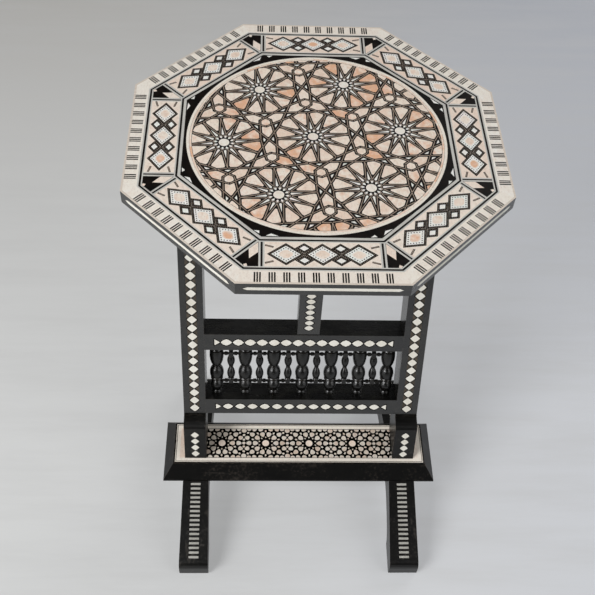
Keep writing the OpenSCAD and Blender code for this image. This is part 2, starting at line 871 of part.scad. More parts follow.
// Places of the three screws in a batten
module batten_screw_places() {
  for (share = [0.1, 0.4, 0.65])
    for (side = [-1, 1])
      translate([side * (batten_in + batten_out) / 2, batten_y0 + share * (batten_y1 - batten_y0), 0])
        children();
}

batten_bottom = underside - batten_height;
batten_screw_tip = underside + top_thick * 0.55;

module top_board() {
  color(black)
    difference() {
      translate([0, top_y, underside])
        linear_extrude(height = top_thick)
          octagon(apothem);
      translate([0, top_y, table_height - veneer])
        linear_extrude(height = veneer + over)
          octagon(ring_a);
      for (side = [0 : 7])
        rim_strip(side, over);
      batten_screw_places()
        translate([0, 0, underside - over])
          cylinder(h = batten_screw_tip - underside + over, r = screw_radius, $fn = 24);
      translate([button_offset, button_y, underside - over])
        cylinder(h = top_thick * 0.55 + over, r = screw_radius, $fn = 24);
    }
}

module rim_strips() {
  color(bone)
    for (side = [0 : 7])
      rim_strip(side, 0);
}

module border_veneer() {
  color(shell)
    octagon_ring(ring_a, ring_b);
}

module outer_stringing() {
  color(black)
    octagon_ring(ring_b, ring_c);
}

module panel_veneers() {
  color(shell)
    translate([0, top_y, table_height - veneer])
      linear_extrude(height = veneer)
        for (side = [0 : 7])
          panel_outline(side, 0);
}

module corner_fields() {
  color(black)
    translate([0, top_y, table_height - veneer])
      linear_extrude(height = veneer)
        difference() {
          octagon(ring_c);
          octagon(ring_d);
          for (side = [0 : 7])
            panel_outline(side, over);
        }
}

module inner_stringing() {
  color(bone)
    octagon_ring(ring_d, ring_e);
}

module spandrels() {
  color(black)
    translate([0, top_y, table_height - veneer])
      difference() {
        linear_extrude(height = veneer)
          octagon(ring_e);
        translate([0, 0, -over])
          cylinder(h = veneer + 2 * over, r = ring_r, $fn = 96);
      }
}

module medallion_ring() {
  color(bone)
    translate([0, top_y, table_height - veneer])
      difference() {
        cylinder(h = veneer, r = ring_r, $fn = 96);
        translate([0, 0, -over])
          cylinder(h = veneer + 2 * over, r = disc_r, $fn = 96);
      }
}

module star_medallion() {
  color(shell)
    translate([0, top_y, table_height - veneer])
      cylinder(h = veneer, r = disc_r, $fn = 96);
}

module batten(side) {
  color(black)
    difference() {
      translate([side * (batten_in + batten_out) / 2, 0, 0])
        side_board(batten_thick, [[batten_y0, underside], [batten_y0, underside - batten_height * 0.45],
          [batten_y0 + 18, batten_bottom], [batten_y1 - 6, batten_bottom],
          [batten_y1, batten_bottom + 6], [batten_y1, underside]]);
      translate([side * (batten_in + batten_out) / 2, pivot_y, pivot_z])
        rotate([0, 90, 0])
          cylinder(h = batten_thick + 2 * over, r = pin_radius + pin_clearance, center = true, $fn = 40);
      batten_screw_places()
        translate([0, 0, batten_bottom - over]) {
          cylinder(h = batten_height + 2 * over, r = screw_radius, $fn = 24);
          cylinder(h = 8 + over, r = screw_head_radius, $fn = 32);
        }
    }
}

module batten_left() {
  batten(-1);
}

module batten_right() {
  batten(1);
}

module batten_screws() {
  color(iron)
    batten_screw_places() {
      translate([0, 0, batten_bottom + 5])
        cylinder(h = 3, r = screw_head_radius, $fn = 32);
      translate([0, 0, batten_bottom + 7])
        cylinder(h = batten_screw_tip - batten_bottom - 7, r = screw_radius, $fn = 24);
    }
}

// Keeper under the top: bears on the prop's head and carries the turn button on a round boss
module keeper_block() {
  x0 = prop_shift - prop_width / 2 - 12;
  x1 = button_offset + 14;
  color(black)
    difference() {
      union() {
        translate([x0, prop_mid - prop_depth / 2 - 8, keeper_bottom])
          cube([x1 - x0, prop_depth + 16, keeper_thick]);
        translate([button_offset, button_y, keeper_bottom - boss_height])
          cylinder(h = boss_height + keeper_thick, r = button_width / 2, $fn = 48);
      }
      translate([button_offset, button_y, keeper_bottom - boss_height - over])
        cylinder(h = boss_height + keeper_thick + 2 * over, r = screw_radius, $fn = 24);
    }
}

module button_screw() {
  color(iron)
    translate([button_offset, button_y, 0]) {
      translate([0, 0, screw_bottom - 2.5])
        cylinder(h = 2.5, r = screw_head_radius, $fn = 32);
      translate([0, 0, screw_bottom - 1])
        cylinder(h = underside + top_thick * 0.55 - screw_bottom + 1, r = screw_radius, $fn = 24);
    }
}

// Wooden button, at rest pointing back; a quarter turn brings its tongue into the prop's notch
module turn_button() {
  color(black)
    translate([button_offset, button_y, button_bottom])
      difference() {
        union() {
          cylinder(h = button_thick, r = button_width / 2, $fn = 48);
          translate([-button_width / 2, 0, 0])
            cube([button_width, tongue_length, button_thick]);
        }
        translate([0, 0, -over])
          cylinder(h = button_thick + 2 * over, r = screw_radius + pin_clearance, $fn = 24);
      }
}

module tall_spindle_1() {
  tall_spindle(1);
}

module tall_spindle_2() {
  tall_spindle(2);
}

module tall_spindle_3() {
  tall_spindle(3);
}

module tall_spindle_4() {
  tall_spindle(4);
}

module tall_spindle_5() {
  tall_spindle(5);
}

module tall_spindle_6() {
  tall_spindle(6);
}

module tall_spindle_7() {
  tall_spindle(7);
}

module short_spindle_1() {
  short_spindle(1);
}

module short_spindle_2() {
  short_spindle(2);
}

module short_spindle_3() {
  short_spindle(3);
}

module short_spindle_4() {
  short_spindle(4);
}

module short_spindle_5() {
  short_spindle(5);
}

module short_spindle_6() {
  short_spindle(6);
}

foot_left();
foot_right();
foot_bars();
plinth_board();
plinth_moulding_front();
plinth_moulding_back();
plinth_moulding_left();
plinth_moulding_right();
plinth_border();
plinth_star_panel();
shoe_left();
shoe_right();
shoe_lozenges();
post_left();
post_right();
post_lozenges();
upper_rail();
upper_rail_lozenges();
lower_rail();
lower_rail_lozenges();
head_rail();
centre_prop();
prop_lozenges();
tall_spindle_1();
tall_spindle_2();
tall_spindle_3();
tall_spindle_4();
tall_spindle_5();
tall_spindle_6();
tall_spindle_7();
short_spindle_1();
short_spindle_2();
short_spindle_3();
short_spindle_4();
short_spindle_5();
short_spindle_6();
upper_rods();
lower_rods();
post_dowels();
foot_screws();
pivot_pins();
top_board();
rim_strips();
border_veneer();
outer_stringing();
panel_veneers();
corner_fields();
inner_stringing();
spandrels();
medallion_ring();
star_medallion();
batten_left();
batten_right();
batten_screws();
keeper_block();
button_screw();
turn_button();
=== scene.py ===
"""Octagonal inlaid tilt-top side table: black lacquered trestle, shell and bone marquetry."""

import cmath
import math

import bpy
from mathutils import Matrix, Vector
from mathutils.geometry import convex_hull_2d


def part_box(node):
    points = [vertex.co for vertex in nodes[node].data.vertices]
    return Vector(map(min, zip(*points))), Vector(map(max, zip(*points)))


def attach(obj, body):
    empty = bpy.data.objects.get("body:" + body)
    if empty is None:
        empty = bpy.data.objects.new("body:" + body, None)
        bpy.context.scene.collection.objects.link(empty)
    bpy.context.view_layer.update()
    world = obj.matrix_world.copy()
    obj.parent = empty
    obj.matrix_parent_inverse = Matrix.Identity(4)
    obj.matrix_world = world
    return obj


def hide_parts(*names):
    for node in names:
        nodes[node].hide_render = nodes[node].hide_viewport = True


MM = 0.001
SIDE_COUNT = 8

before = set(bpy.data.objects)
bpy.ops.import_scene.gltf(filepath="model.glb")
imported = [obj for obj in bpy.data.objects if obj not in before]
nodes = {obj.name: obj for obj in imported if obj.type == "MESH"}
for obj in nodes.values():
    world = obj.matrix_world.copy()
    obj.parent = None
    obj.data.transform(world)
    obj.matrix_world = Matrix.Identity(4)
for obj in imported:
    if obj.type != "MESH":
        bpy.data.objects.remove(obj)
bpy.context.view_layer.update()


# Shader building

# Sockets of a Mix node that mixes colours
MIX_FACTOR, MIX_FIRST, MIX_SECOND, MIX_RESULT = 0, 6, 7, 2


class Value:
    """A shader socket in a sum: 1 - mask adds its own Math node."""

    def __init__(self, finish, socket):
        self.finish = finish
        self.socket = socket

    def sum(self, operation, first, second):
        return self.finish.node("ShaderNodeMath", {"operation": operation}, {0: first, 1: second})

    def __add__(self, other):
        return self.sum("ADD", self, other)

    def __radd__(self, other):
        return self.sum("ADD", other, self)

    def __sub__(self, other):
        return self.sum("SUBTRACT", self, other)

    def __rsub__(self, other):
        return self.sum("SUBTRACT", other, self)

    def __mul__(self, other):
        return self.sum("MULTIPLY", self, other)

    def __rmul__(self, other):
        return self.sum("MULTIPLY", other, self)

    def between(self, low, high):
        """0 at low, 1 at high, smooth in between."""
        return self.finish.node(
            "ShaderNodeMapRange",
            {"interpolation_type": "SMOOTHSTEP"},
            {"Value": self, "From Min": low, "From Max": high},
        )


class Finish:
    """The nodes of one material, or of the room's light."""

    def __init__(self, holder):
        holder.use_nodes = True
        self.holder = holder
        self.tree = holder.node_tree
        self.tree.nodes.clear()
        self.place = self.node("ShaderNodeTexCoord", {}, {}, "Object")

    def node(self, kind, settings, sockets, output=0):
        made = self.tree.nodes.new(kind)
        for key, value in settings.items():
            if key == "stops":
                self.set_stops(made.color_ramp, value)
            else:
                setattr(made, key, value)
        for key, value in sockets.items():
            if isinstance(value, Value):
                self.tree.links.new(value.socket, made.inputs[key])
            else:
                made.inputs[key].default_value = value
        return Value(self, made.outputs[output])

    def set_stops(self, ramp, stops):
        while len(ramp.elements) < len(stops):
            ramp.elements.new(1.0)
        for element, (position, colour) in zip(ramp.elements, stops):
            element.position = position
            element.color = (*colour, 1.0)

    def mix(self, factor, first, second):
        sockets = {MIX_FACTOR: factor, MIX_FIRST: first, MIX_SECOND: second}
        for key in (MIX_FIRST, MIX_SECOND):
            if isinstance(sockets[key], tuple):
                sockets[key] = (*sockets[key], 1.0)
        return self.node("ShaderNodeMix", {"data_type": "RGBA"}, sockets, MIX_RESULT)

    def stretched(self, scale):
        return self.node("ShaderNodeMapping", {}, {"Vector": self.place, "Scale": scale})

    def noise(self, scale, detail=3.0, roughness=0.55, place=None):
        """Clouded noise from 0 to 1; scale is about the clouds to a metre."""
        sockets = {
            "Vector": place or self.place,
            "Scale": scale,
            "Detail": detail,
            "Roughness": roughness,
        }
        return self.node("ShaderNodeTexNoise", {}, sockets, "Fac")

    def part_of(self, vector, axis):
        """One number of a vector: X, Y or Z."""
        return self.node("ShaderNodeSeparateXYZ", {}, {0: vector}, axis)

    def bump(self, height, strength, depth):
        sockets = {"Height": height, "Strength": strength, "Distance": depth * MM}
        return self.node("ShaderNodeBump", {}, sockets)

    def surface(self, colour, roughness, normal, even=None):
        """Closes a material; even holds the sockets that are the same all over it."""
        sockets = {"Base Color": colour, "Roughness": roughness, "Normal": normal}
        sockets.update(even or {})
        return self.close(self.node("ShaderNodeBsdfPrincipled", {}, sockets))

    def close(self, shader, end_kind="ShaderNodeOutputMaterial"):
        end = self.tree.nodes.new(end_kind)
        self.tree.links.new(shader.socket, end.inputs["Surface"])
        return self.holder


def new_finish(name):
    return Finish(bpy.data.materials.new(name))


# Finishes; tones are linear red, green and blue

LACQUER_DEEP = (0.0011, 0.0011, 0.0010)
LACQUER_FIBRE = (0.0036, 0.0033, 0.0030)
LACQUER_MOTTLE = (0.017, 0.0165, 0.0125)
LACQUER_WORN = (0.05, 0.041, 0.034)
LACQUER_SCRATCH = (0.12, 0.105, 0.09)
LACQUER_RUBBED = (0.085, 0.066, 0.05)
LACQUER_IOR = 1.72
LAPPED_VENEER = (0.66, 0.58, 0.50)
RUBBED_EDGE = 1.1 * MM
BONE_PORE = (0.3, 0.24, 0.17)
SHELL_FLECK = (0.32, 0.21, 0.15)
WOOD_PALE = (0.42, 0.29, 0.17)
WOOD_RING = (0.30, 0.19, 0.10)
WOOD_FIBRE = (0.20, 0.12, 0.065)
IRON_DARK = (0.30, 0.29, 0.28)
IRON_BRIGHT = (0.42, 0.41, 0.40)
# Floor tones left and right, in front of the table and far behind it; they are painted light, bright in
# front, darker far behind and cooler on the right
FLOOR_PAINTED_LIT_NEAR = ((0.635, 0.64, 0.635), (0.615, 0.63, 0.665))
FLOOR_PAINTED_SHADE_FAR = ((0.43, 0.42, 0.40), (0.37, 0.385, 0.425))
FLOOR_STREAK = (0.51, 0.51, 0.505)
FLOOR_GLOW = 0.48

# Stretch of the wood's fibres, which run along the axis with the small number
GRAIN_UP = (1.0, 1.0, 0.05)
GRAIN_ACROSS = (0.05, 1.0, 1.0)
GRAIN_DEEP = (1.0, 0.05, 1.0)
GRAIN_TURNED = (1.0, 1.0, 0.6)


def black_lacquer(name, grain, polish=0.24, dust=0.0, shine=0.5, veneered_edge=None):
    """Brushed black lacquer over wood, worn in specks, scratches and along its edges.

    A veneered edge is the level at which the top's veneer laps over the wood.
    """
    finish = new_finish(name)
    fibre = finish.noise(520.0, 5.0, 0.6, finish.stretched(grain))
    cloud = finish.noise(16.0)
    speck = finish.noise(240.0, 4.0, 0.7)
    scratch = finish.noise(70.0, 3.0, 0.6, finish.stretched(grain)).between(0.62, 0.7)
    worn = (speck * 0.7 + cloud * 0.45).between(0.66 - dust * 0.2, 0.8)
    rounded = finish.node("ShaderNodeBevel", {"samples": 4}, {"Radius": RUBBED_EDGE})
    true_normal = finish.node("ShaderNodeNewGeometry", {}, {}, "Normal")
    facing = finish.node(
        "ShaderNodeVectorMath", {"operation": "DOT_PRODUCT"}, {0: rounded, 1: true_normal}, "Value"
    )
    rubbed = (1.0 - facing).between(0.03, 0.22) * speck.between(0.4, 0.62)
    mottle = finish.noise(58.0, 6.0, 0.68).between(0.42, 0.72)
    colour = finish.mix(fibre, LACQUER_DEEP, LACQUER_FIBRE)
    colour = finish.mix(mottle * shine, colour, LACQUER_MOTTLE)
    colour = finish.mix(worn * (0.22 + dust), colour, LACQUER_WORN)
    colour = finish.mix(scratch * speck * (0.1 + dust), colour, LACQUER_SCRATCH)
    colour = finish.mix(rubbed * 0.45, colour, LACQUER_RUBBED)
    if veneered_edge is not None:
        level = finish.part_of(finish.place, "Z")
        lapped = level.between(veneered_edge - 0.4 * MM, veneered_edge - 0.2 * MM)
        colour = finish.mix(lapped, colour, LAPPED_VENEER)
    roughness = polish - 0.08 + cloud * 0.12 + fibre * 0.1 + worn * 0.2
    normal = finish.bump(fibre * 0.7 + speck * 0.3, 0.22, 0.4)
    even = {"IOR": LACQUER_IOR, "Specular IOR Level": shine}
    return finish.surface(colour, roughness, normal, even)


def polished_bone(name, light, shade):
    """Bone with fine grain, short dark pores and a little yellowing."""
    finish = new_finish(name)
    cloud = finish.noise(45.0, 4.0)
    grain = finish.noise(700.0, 3.0, 0.5, finish.stretched((1.0, 0.35, 1.0)))
    pores = finish.noise(1500.0, 2.0, 0.5).between(0.66, 0.74)
    colour = finish.mix(cloud.between(0.35, 0.75) * 0.55 + grain * 0.3, light, shade)
    colour = finish.mix(pores * 0.35, colour, BONE_PORE)
    roughness = 0.28 + cloud * 0.16
    normal = finish.bump(grain * 0.5 - pores * 0.5, 0.12, 0.3)
    return finish.surface(colour, roughness, normal)


def polished_shell(name, clouding, growth_tone, stops):
    """Sawn shell; each piece has its own tint, with growth lines and pearly clouds."""
    finish = new_finish(name)
    tint = finish.node("ShaderNodeAttribute", {"attribute_name": "tint"}, {}, "Fac")
    cloud = finish.noise(150.0, 4.0, 0.6)
    growth = finish.noise(330.0, 4.0, 0.65, finish.stretched((1.0, 0.45, 1.0)))
    fleck = finish.noise(900.0, 2.0, 0.5).between(0.6, 0.72)
    shade = tint + (cloud - 0.5) * clouding
    colour = finish.node("ShaderNodeValToRGB", {"stops": stops}, {"Fac": shade})
    colour = finish.mix(growth.between(0.45, 0.72) * 0.5, colour, growth_tone)
    colour = finish.mix(fleck * 0.35, colour, SHELL_FLECK)
    roughness = 0.24 + growth * 0.16
    normal = finish.bump(growth * 0.6 + cloud * 0.4, 0.1, 0.4)
    return finish.surface(colour, roughness, normal)


def dark_filling(name, shine, deep, warm, pale):
    """Mastic, sawn lines and thin wood between the pale pieces."""
    finish = new_finish(name)
    cloud = finish.noise(140.0, 4.0, 0.65)
    grain = finish.noise(900.0, 3.0, 0.6)
    colour = finish.mix(cloud.between(0.4, 0.75), deep, warm)
    colour = finish.mix(grain.between(0.55, 0.8) * 0.4, colour, pale)
    roughness = 0.4 + cloud * 0.2
    return finish.surface(colour, roughness, finish.bump(grain, 0.3, 0.3), {"Specular IOR Level": shine})


def plain_wood():
    """Unfinished pale wood of the hidden pieces."""
    finish = new_finish("plain_wood")
    fibre = finish.noise(420.0, 5.0, 0.6, finish.stretched(GRAIN_DEEP))
    ring = finish.noise(60.0, 2.0, 0.5, finish.stretched((1.0, 0.08, 1.0)))
    colour = finish.mix(ring.between(0.35, 0.7), WOOD_PALE, WOOD_RING)
    colour = finish.mix(fibre.between(0.5, 0.8) * 0.5, colour, WOOD_FIBRE)
    roughness = 0.55 + fibre * 0.2
    return finish.surface(colour, roughness, finish.bump(fibre, 0.4, 0.5))


def dull_iron():
    """Plain steel of the screws and pins."""
    finish = new_finish("dull_iron")
    cloud = finish.noise(180.0, 4.0)
    scratch = finish.noise(900.0, 2.0, 0.5, finish.stretched((1.0, 0.1, 1.0)))
    colour = finish.mix(cloud, IRON_DARK, IRON_BRIGHT)
    roughness = 0.34 + cloud * 0.2
    return finish.surface(colour, roughness, finish.bump(scratch, 0.15, 0.3), {"Metallic": 1.0})


def backdrop_rays(finish):
    """1 for rays that look at the room, 0 for those that light the table."""
    path = finish.tree.nodes.new("ShaderNodeLightPath")
    seen, mirrored, through = (
        Value(finish, path.outputs[name])
        for name in ("Is Camera Ray", "Is Glossy Ray", "Is Transmission Ray")
    )
    return finish.node(
        "ShaderNodeMath", {"operation": "ADD", "use_clamp": True}, {0: seen + mirrored, 1: through}
    )


def pale_floor():
    """Pale grey painted floor with faint brush streaks, brighter in front; painted light makes it darker
    behind and cooler on the right.
    """
    finish = new_finish("pale_floor")
    streak = finish.noise(26.0, 6.0, 0.65, finish.stretched((0.12, 1.0, 1.0)))
    cloud = finish.noise(1.3, 2.0)
    # Painted light: the floor's colour dims towards the back and cools towards the right
    depth = finish.part_of(finish.place, "Y").between(-0.1, 1.5)
    side = finish.part_of(finish.place, "X").between(-0.5, 0.8)
    near = finish.mix(side, *FLOOR_PAINTED_LIT_NEAR)
    far = finish.mix(side, *FLOOR_PAINTED_SHADE_FAR)
    colour = finish.mix(depth, near, far)
    colour = finish.mix(streak.between(0.35, 0.75) * 0.3 + cloud * 0.1, colour, FLOOR_STREAK)
    roughness = 0.75 + streak * 0.1
    paint = finish.node(
        "ShaderNodeBsdfPrincipled",
        {},
        {"Base Color": colour, "Roughness": roughness, "Normal": finish.bump(streak, 0.08, 2.0)},
    )
    glow = finish.node("ShaderNodeEmission", {}, {"Color": colour})
    shown = backdrop_rays(finish) * FLOOR_GLOW
    return finish.close(finish.node("ShaderNodeMixShader", {}, {0: shown, 1: paint, 2: glow}))


top_low, top_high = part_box("top_board")
BLACK_UP = black_lacquer("black_lacquer_upright", GRAIN_UP)
BLACK_ACROSS = black_lacquer("black_lacquer_across", GRAIN_ACROSS)
BLACK_TOP = black_lacquer("black_lacquer_top", GRAIN_ACROSS, dust=0.05, veneered_edge=top_high.z)
BLACK_PLINTH = black_lacquer("worn_lacquer_across", GRAIN_ACROSS, polish=0.3, dust=0.26, shine=0.08)
BLACK_FEET = black_lacquer("worn_lacquer_deep", GRAIN_DEEP, polish=0.3, dust=0.22, shine=0.2)
BLACK_TURNED = black_lacquer("black_lacquer_turned", GRAIN_TURNED, shine=0.28)
BONE = polished_bone("polished_bone", light=(0.70, 0.68, 0.62), shade=(0.56, 0.52, 0.44))
BONE_GREY = polished_bone("grey_bone", light=(0.58, 0.57, 0.53), shade=(0.43, 0.41, 0.38))
BONE_DULL = polished_bone("dull_bone", light=(0.40, 0.39, 0.36), shade=(0.26, 0.25, 0.22))
SHELL = polished_shell("polished_shell", clouding=0.9, growth_tone=(0.62, 0.46, 0.36), stops=(
    (0.0, (0.79, 0.64, 0.53)),
    (0.25, (0.83, 0.74, 0.64)),
    (0.5, (0.77, 0.60, 0.48)),
    (0.68, (0.83, 0.76, 0.67)),
    (0.86, (0.78, 0.56, 0.43)),
    (1.0, (0.74, 0.43, 0.27)),
))
SHELL_CREAM = polished_shell("cream_shell", clouding=0.8, growth_tone=(0.68, 0.58, 0.50), stops=(
    (0.0, (0.80, 0.74, 0.65)),
    (0.4, (0.83, 0.79, 0.72)),
    (0.7, (0.80, 0.72, 0.63)),
    (1.0, (0.83, 0.80, 0.74)),
))
SHELL_PEACH = polished_shell("peach_shell", clouding=0.9, growth_tone=(0.64, 0.50, 0.41), stops=(
    (0.0, (0.81, 0.69, 0.59)),
    (0.5, (0.82, 0.74, 0.65)),
    (1.0, (0.79, 0.63, 0.52)),
))
# A darker copy of the shell for the plinth: painted shade, as the plinth lies in the shadow of the top
SHELL_PAINTED_SHADE = polished_shell("shell_with_painted_shade", clouding=0.8, growth_tone=(0.44, 0.33, 0.25), stops=(
    (0.0, (0.64, 0.565, 0.48)),
    (0.5, (0.69, 0.635, 0.56)),
    (0.8, (0.62, 0.50, 0.40)),
    (1.0, (0.67, 0.63, 0.57)),
))
PEARL = polished_shell("pale_pearl", clouding=0.8, growth_tone=(0.68, 0.64, 0.59), stops=(
    (0.0, (0.82, 0.80, 0.75)),
    (0.35, (0.84, 0.83, 0.80)),
    (0.65, (0.79, 0.81, 0.76)),
    (1.0, (0.83, 0.78, 0.75)),
))
FILLING = dark_filling("dark_filling", shine=0.22, deep=(0.002, 0.0013, 0.001),
                       warm=(0.01, 0.0052, 0.0035), pale=(0.018, 0.012, 0.009))
BROWN = dark_filling("brown_filling", shine=0.25, deep=(0.045, 0.037, 0.028),
                     warm=(0.085, 0.068, 0.05), pale=(0.12, 0.1, 0.078))
MASTIC = dark_filling("dark_mastic", shine=0.04, deep=(0.0015, 0.0013, 0.001),
                      warm=(0.006, 0.005, 0.004), pale=(0.012, 0.01, 0.008))
STRAP = dark_filling("strap_wood", shine=0.3, deep=(0.35, 0.275, 0.215),
                     warm=(0.48, 0.38, 0.30), pale=(0.2, 0.14, 0.105))
WOOD = plain_wood()
IRON = dull_iron()


# Flat outlines, as complex numbers in millimetres


def turn_by(steps, count):
    """A direction, so many steps round a full turn of count steps."""
    return cmath.rect(1, math.tau * steps / count)


def round_outline(radius, count):
    return [radius * turn_by(k, count) for k in range(count)]


def rectangle(low, high):
    return [low, complex(high.real, low.imag), high, complex(low.real, high.imag)]


def sides_of(outline):
    """Both ends of each side in turn."""
    return list(zip(outline, outline[1:] + outline[:1]))


def meet(p, along, q, other):
    """Where the line from p meets the line from q."""
    cross = (along.conjugate() * other).imag
    return p + along * (((q - p).conjugate() * other).imag / cross)


def area(outline):
    return sum((a.conjugate() * b).imag for a, b in sides_of(outline)) / 2


def facing_up(outline):
    return outline if area(outline) > 0 else outline[::-1]


def inset(outline, gap):
    """The outline moved inwards by gap on every side."""
    sides = []
    for a, b in sides_of(facing_up(outline)):
        along = (b - a) / abs(b - a)
        sides.append((a + 1j * along * gap, along))
    return [meet(*sides[k - 1], *sides[k]) for k in range(len(sides))]


def softened(outline, share):
    """Each corner cut back by a share of its sides."""
    cut = []
    count = len(outline)
    for k in range(count):
        before, here, after = outline[k - 1], outline[k], outline[(k + 1) % count]
        cut.append(here + (before - here) * share)
        cut.append(here + (after - here) * share)
    return cut


def trimmed(outline, limits):
    """The part of an outline inside straight limits, each a direction and a distance."""
    for direction, distance in limits:
        kept = []
        for a, b in sides_of(outline):
            past_a = (direction.conjugate() * a).real - distance
            past_b = (direction.conjugate() * b).real - distance
            if past_a <= 0:
                kept.append(a)
            if (past_a < 0 < past_b) or (past_b < 0 < past_a):
                kept.append(a + (b - a) * past_a / (past_a - past_b))
        outline = kept
        if len(outline) < 3:
            return []
    return outline


def round_limits(radius, count=72):
    return [(direction, radius) for direction in round_outline(1, count)]


def cut_to(outlines, limits, least):
    """Outlines cut to limits, without scraps under the least area."""
    cut = [trimmed(outline, limits) for outline in outlines]
    return [outline for outline in cut if abs(area(outline)) > least]


def moved(outlines, turn, shift):
    return [[p * turn + shift for p in outline] for outline in outlines]


def bar(a, b, width, short=0.0):
    """A straight strip from a to b that stops short of both ends."""
    along = (b - a) / abs(b - a)
    side = 1j * along * width / 2
    a, b = a + along * short, b - along * short
    return [a - side, b - side, b + side, a + side]


def outline_bars(outline, width):
    """The outline drawn as mitred strips of one width."""
    outer = sides_of(inset(outline, -width / 2))
    inner = sides_of(inset(outline, width / 2))
    return [[a, b, d, c] for (a, b), (c, d) in zip(outer, inner)]


def rhombus(middle, across, along):
    """A lozenge on a side, with its half sizes outwards and sideways."""
    return [middle - across, middle + 1j * along, middle + across, middle - 1j * along]


def kite(start, widest, end, half):
    """A kite that points outwards."""
    return [complex(start, 0.0), complex(widest, -half), complex(end, 0.0), complex(widest, half)]


def ring_pieces(outside, inside, count):
    """Plain pieces side by side round a ring."""
    pieces = []
    for k in range(count):
        turns = [turn_by(k + share, count) for share in (0.0, 0.33, 0.67, 1.0)]
        pieces.append([inside * t for t in turns] + [outside * t for t in reversed(turns)])
    return pieces


# Star pattern: rosettes that touch, with petals, darts and hearts between straps

EYE_ROOT = 0.55
HUB_SHARE = 0.6
STRAP_SHARE = 0.35


class Rosette:
    """One star with its ring of petals, about its own middle."""

    def __init__(self, count, reach, shoulder, tip, core):
        turn = round_outline(1, count)
        half = turn_by(0.5, count)
        touch = [reach * t for t in turn]
        notch = [shoulder * t * half for t in turn]
        lean = meet(touch[0], notch[0] - touch[0], 0, turn[1])
        cross = [abs(lean) * t for t in turn]
        point = [tip * t * half for t in turn]
        inner = [core * t for t in turn]
        ring = range(count)
        eye = [EYE_ROOT * p * half for p in inner]
        self.petals = [[notch[k], cross[k], point[k], cross[(k + 1) % count]] for k in ring]
        self.links = [[touch[k], notch[k], cross[k], notch[k - 1]] for k in ring]
        self.darts = [[cross[k], point[k], inner[k], point[k - 1]] for k in ring]
        self.eyes = [[point[k], inner[k], eye[k], inner[(k + 1) % count]] for k in ring]
        self.hub = round_outline(HUB_SHARE * core, 20)
        self.touch = touch
        self.past = meet(notch[1], touch[1] - notch[1], reach, 1j)
        mirror = [2 * reach - p.conjugate() for p in (touch[1], notch[0])]
        self.heart = [touch[0], notch[0], touch[1], self.past] + mirror

    def strap_lines(self):
        """Both ends of every strap, once each."""
        lines = []
        for petal, link, dart in zip(self.petals, self.links, self.darts):
            lines += [(petal[0], petal[1]), (petal[0], petal[3])]
            lines += [(petal[1], petal[2]), (petal[2], petal[3])]
            lines += [(link[0], link[1]), (link[0], link[3])]
            lines += [(dart[1], dart[2]), (dart[2], dart[3])]
        return lines


class StarField:
    """Outlines of a field of rosettes, sorted by finish; gap is half the room between pieces."""

    def __init__(self, gap):
        self.gap = gap
        self.warm, self.pale, self.hubs, self.cores = [], [], [], []

    def add_rosette(self, star, turn, shift):
        gap = self.gap
        self.warm += moved([softened(inset(o, gap), share=0.12) for o in star.petals], turn, shift)
        self.pale += moved([inset(o, gap) for o in star.darts], turn, shift)
        self.pale += moved([inset(o, gap * 1.45) for o in star.links], turn, shift)
        self.pale += moved([inset(o, gap * 0.48) for o in star.eyes], turn, shift)
        self.hubs += moved([star.hub], turn, shift)
        self.add_straps(star.strap_lines(), turn, shift)

    def add_straps(self, lines, turn, shift):
        thin = self.gap * STRAP_SHARE
        self.cores += moved([bar(a, b, thin, thin) for a, b in lines], turn, shift)

    def cut(self, limits):
        self.warm = cut_to(self.warm, limits, least=1.5)
        self.pale = cut_to(self.pale, limits, least=0.6)
        self.hubs = cut_to(self.hubs, limits, least=0.6)
        self.cores = cut_to(self.cores, limits, least=0.3)


def medallion_field(radius):
    """Rosettes of twelve on a three-way lattice, cut to a disc."""
    pitch = 95.0
    turn = cmath.rect(1, math.radians(7.1))
    middle = complex(-4.5, 3.0)
    star = Rosette(12, reach=pitch / 2, shoulder=41.5, tip=12.6, core=9.3)
    field = StarField(gap=1.8)
    hearts = [star.heart, [p.conjugate() for p in star.heart]]
    hearts = [softened(inset(h, field.gap), share=0.1) for h in hearts]
    sixth = turn_by(1, 6)
    tile_mid = pitch / math.sqrt(3) * turn_by(1, 12)
    hexagon = []
    for k in range(3):
        hexagon.append(tile_mid + (star.touch[1] - tile_mid) * turn_by(k, 3))
        hexagon.append(tile_mid + (star.past - tile_mid) * turn_by(k, 3))
    tile = inset(hexagon, field.gap * 0.85)
    rows = range(-3, 4)
    for place in [middle + pitch * (i + j * sixth) * turn for i in rows for j in rows]:
        if abs(place) > radius + pitch * 0.75:
            continue
        field.add_rosette(star, turn, place)
        for k in range(3):
            field.warm += moved(hearts, turn * sixth**k, place)
        for k in range(2):
            field.warm += [softened(t, share=0.16) for t in moved([tile], turn * sixth**k, place)]
            field.add_straps(sides_of(hexagon), turn * sixth**k, place)
    field.cut(round_limits(radius))
    return field


# Plinth pattern: rings of pebble-shaped pieces around a row of discs

RING_STEP = 62.0
RING_SHIFT = 14.0
RING_COUNT = 10
# On a ring: part of a step round, distance out, half length, half width and lean
RING_PEBBLES = (
    (0.0, 14.4, 3.9, 3.3, -0.4),
    (0.0, 24.0, 3.7, 3.2, 0.35),
    (0.5, 27.8, 3.4, 3.1, 0.3),
)
RING_BITS = (
    (0.5, 19.3, 1.9, 1.2),
    (0.5, 9.4, 1.2, 0.9),
)
# Between two rings: distance sideways and out from the row, half length and half width
GAP_PEBBLES = (
    (0.0, 20.4, 3.6, 3.6),
    (-7.4, 23.0, 3.4, 3.2),
    (7.4, 23.0, 3.4, 3.2),
)
GAP_BITS = (
    (0.0, 13.0, 2.0, 1.6),
    (-5.8, 16.6, 1.7, 1.4),
    (5.8, 16.6, 1.7, 1.4),
    (0.0, 5.6, 1.8, 1.7),
)


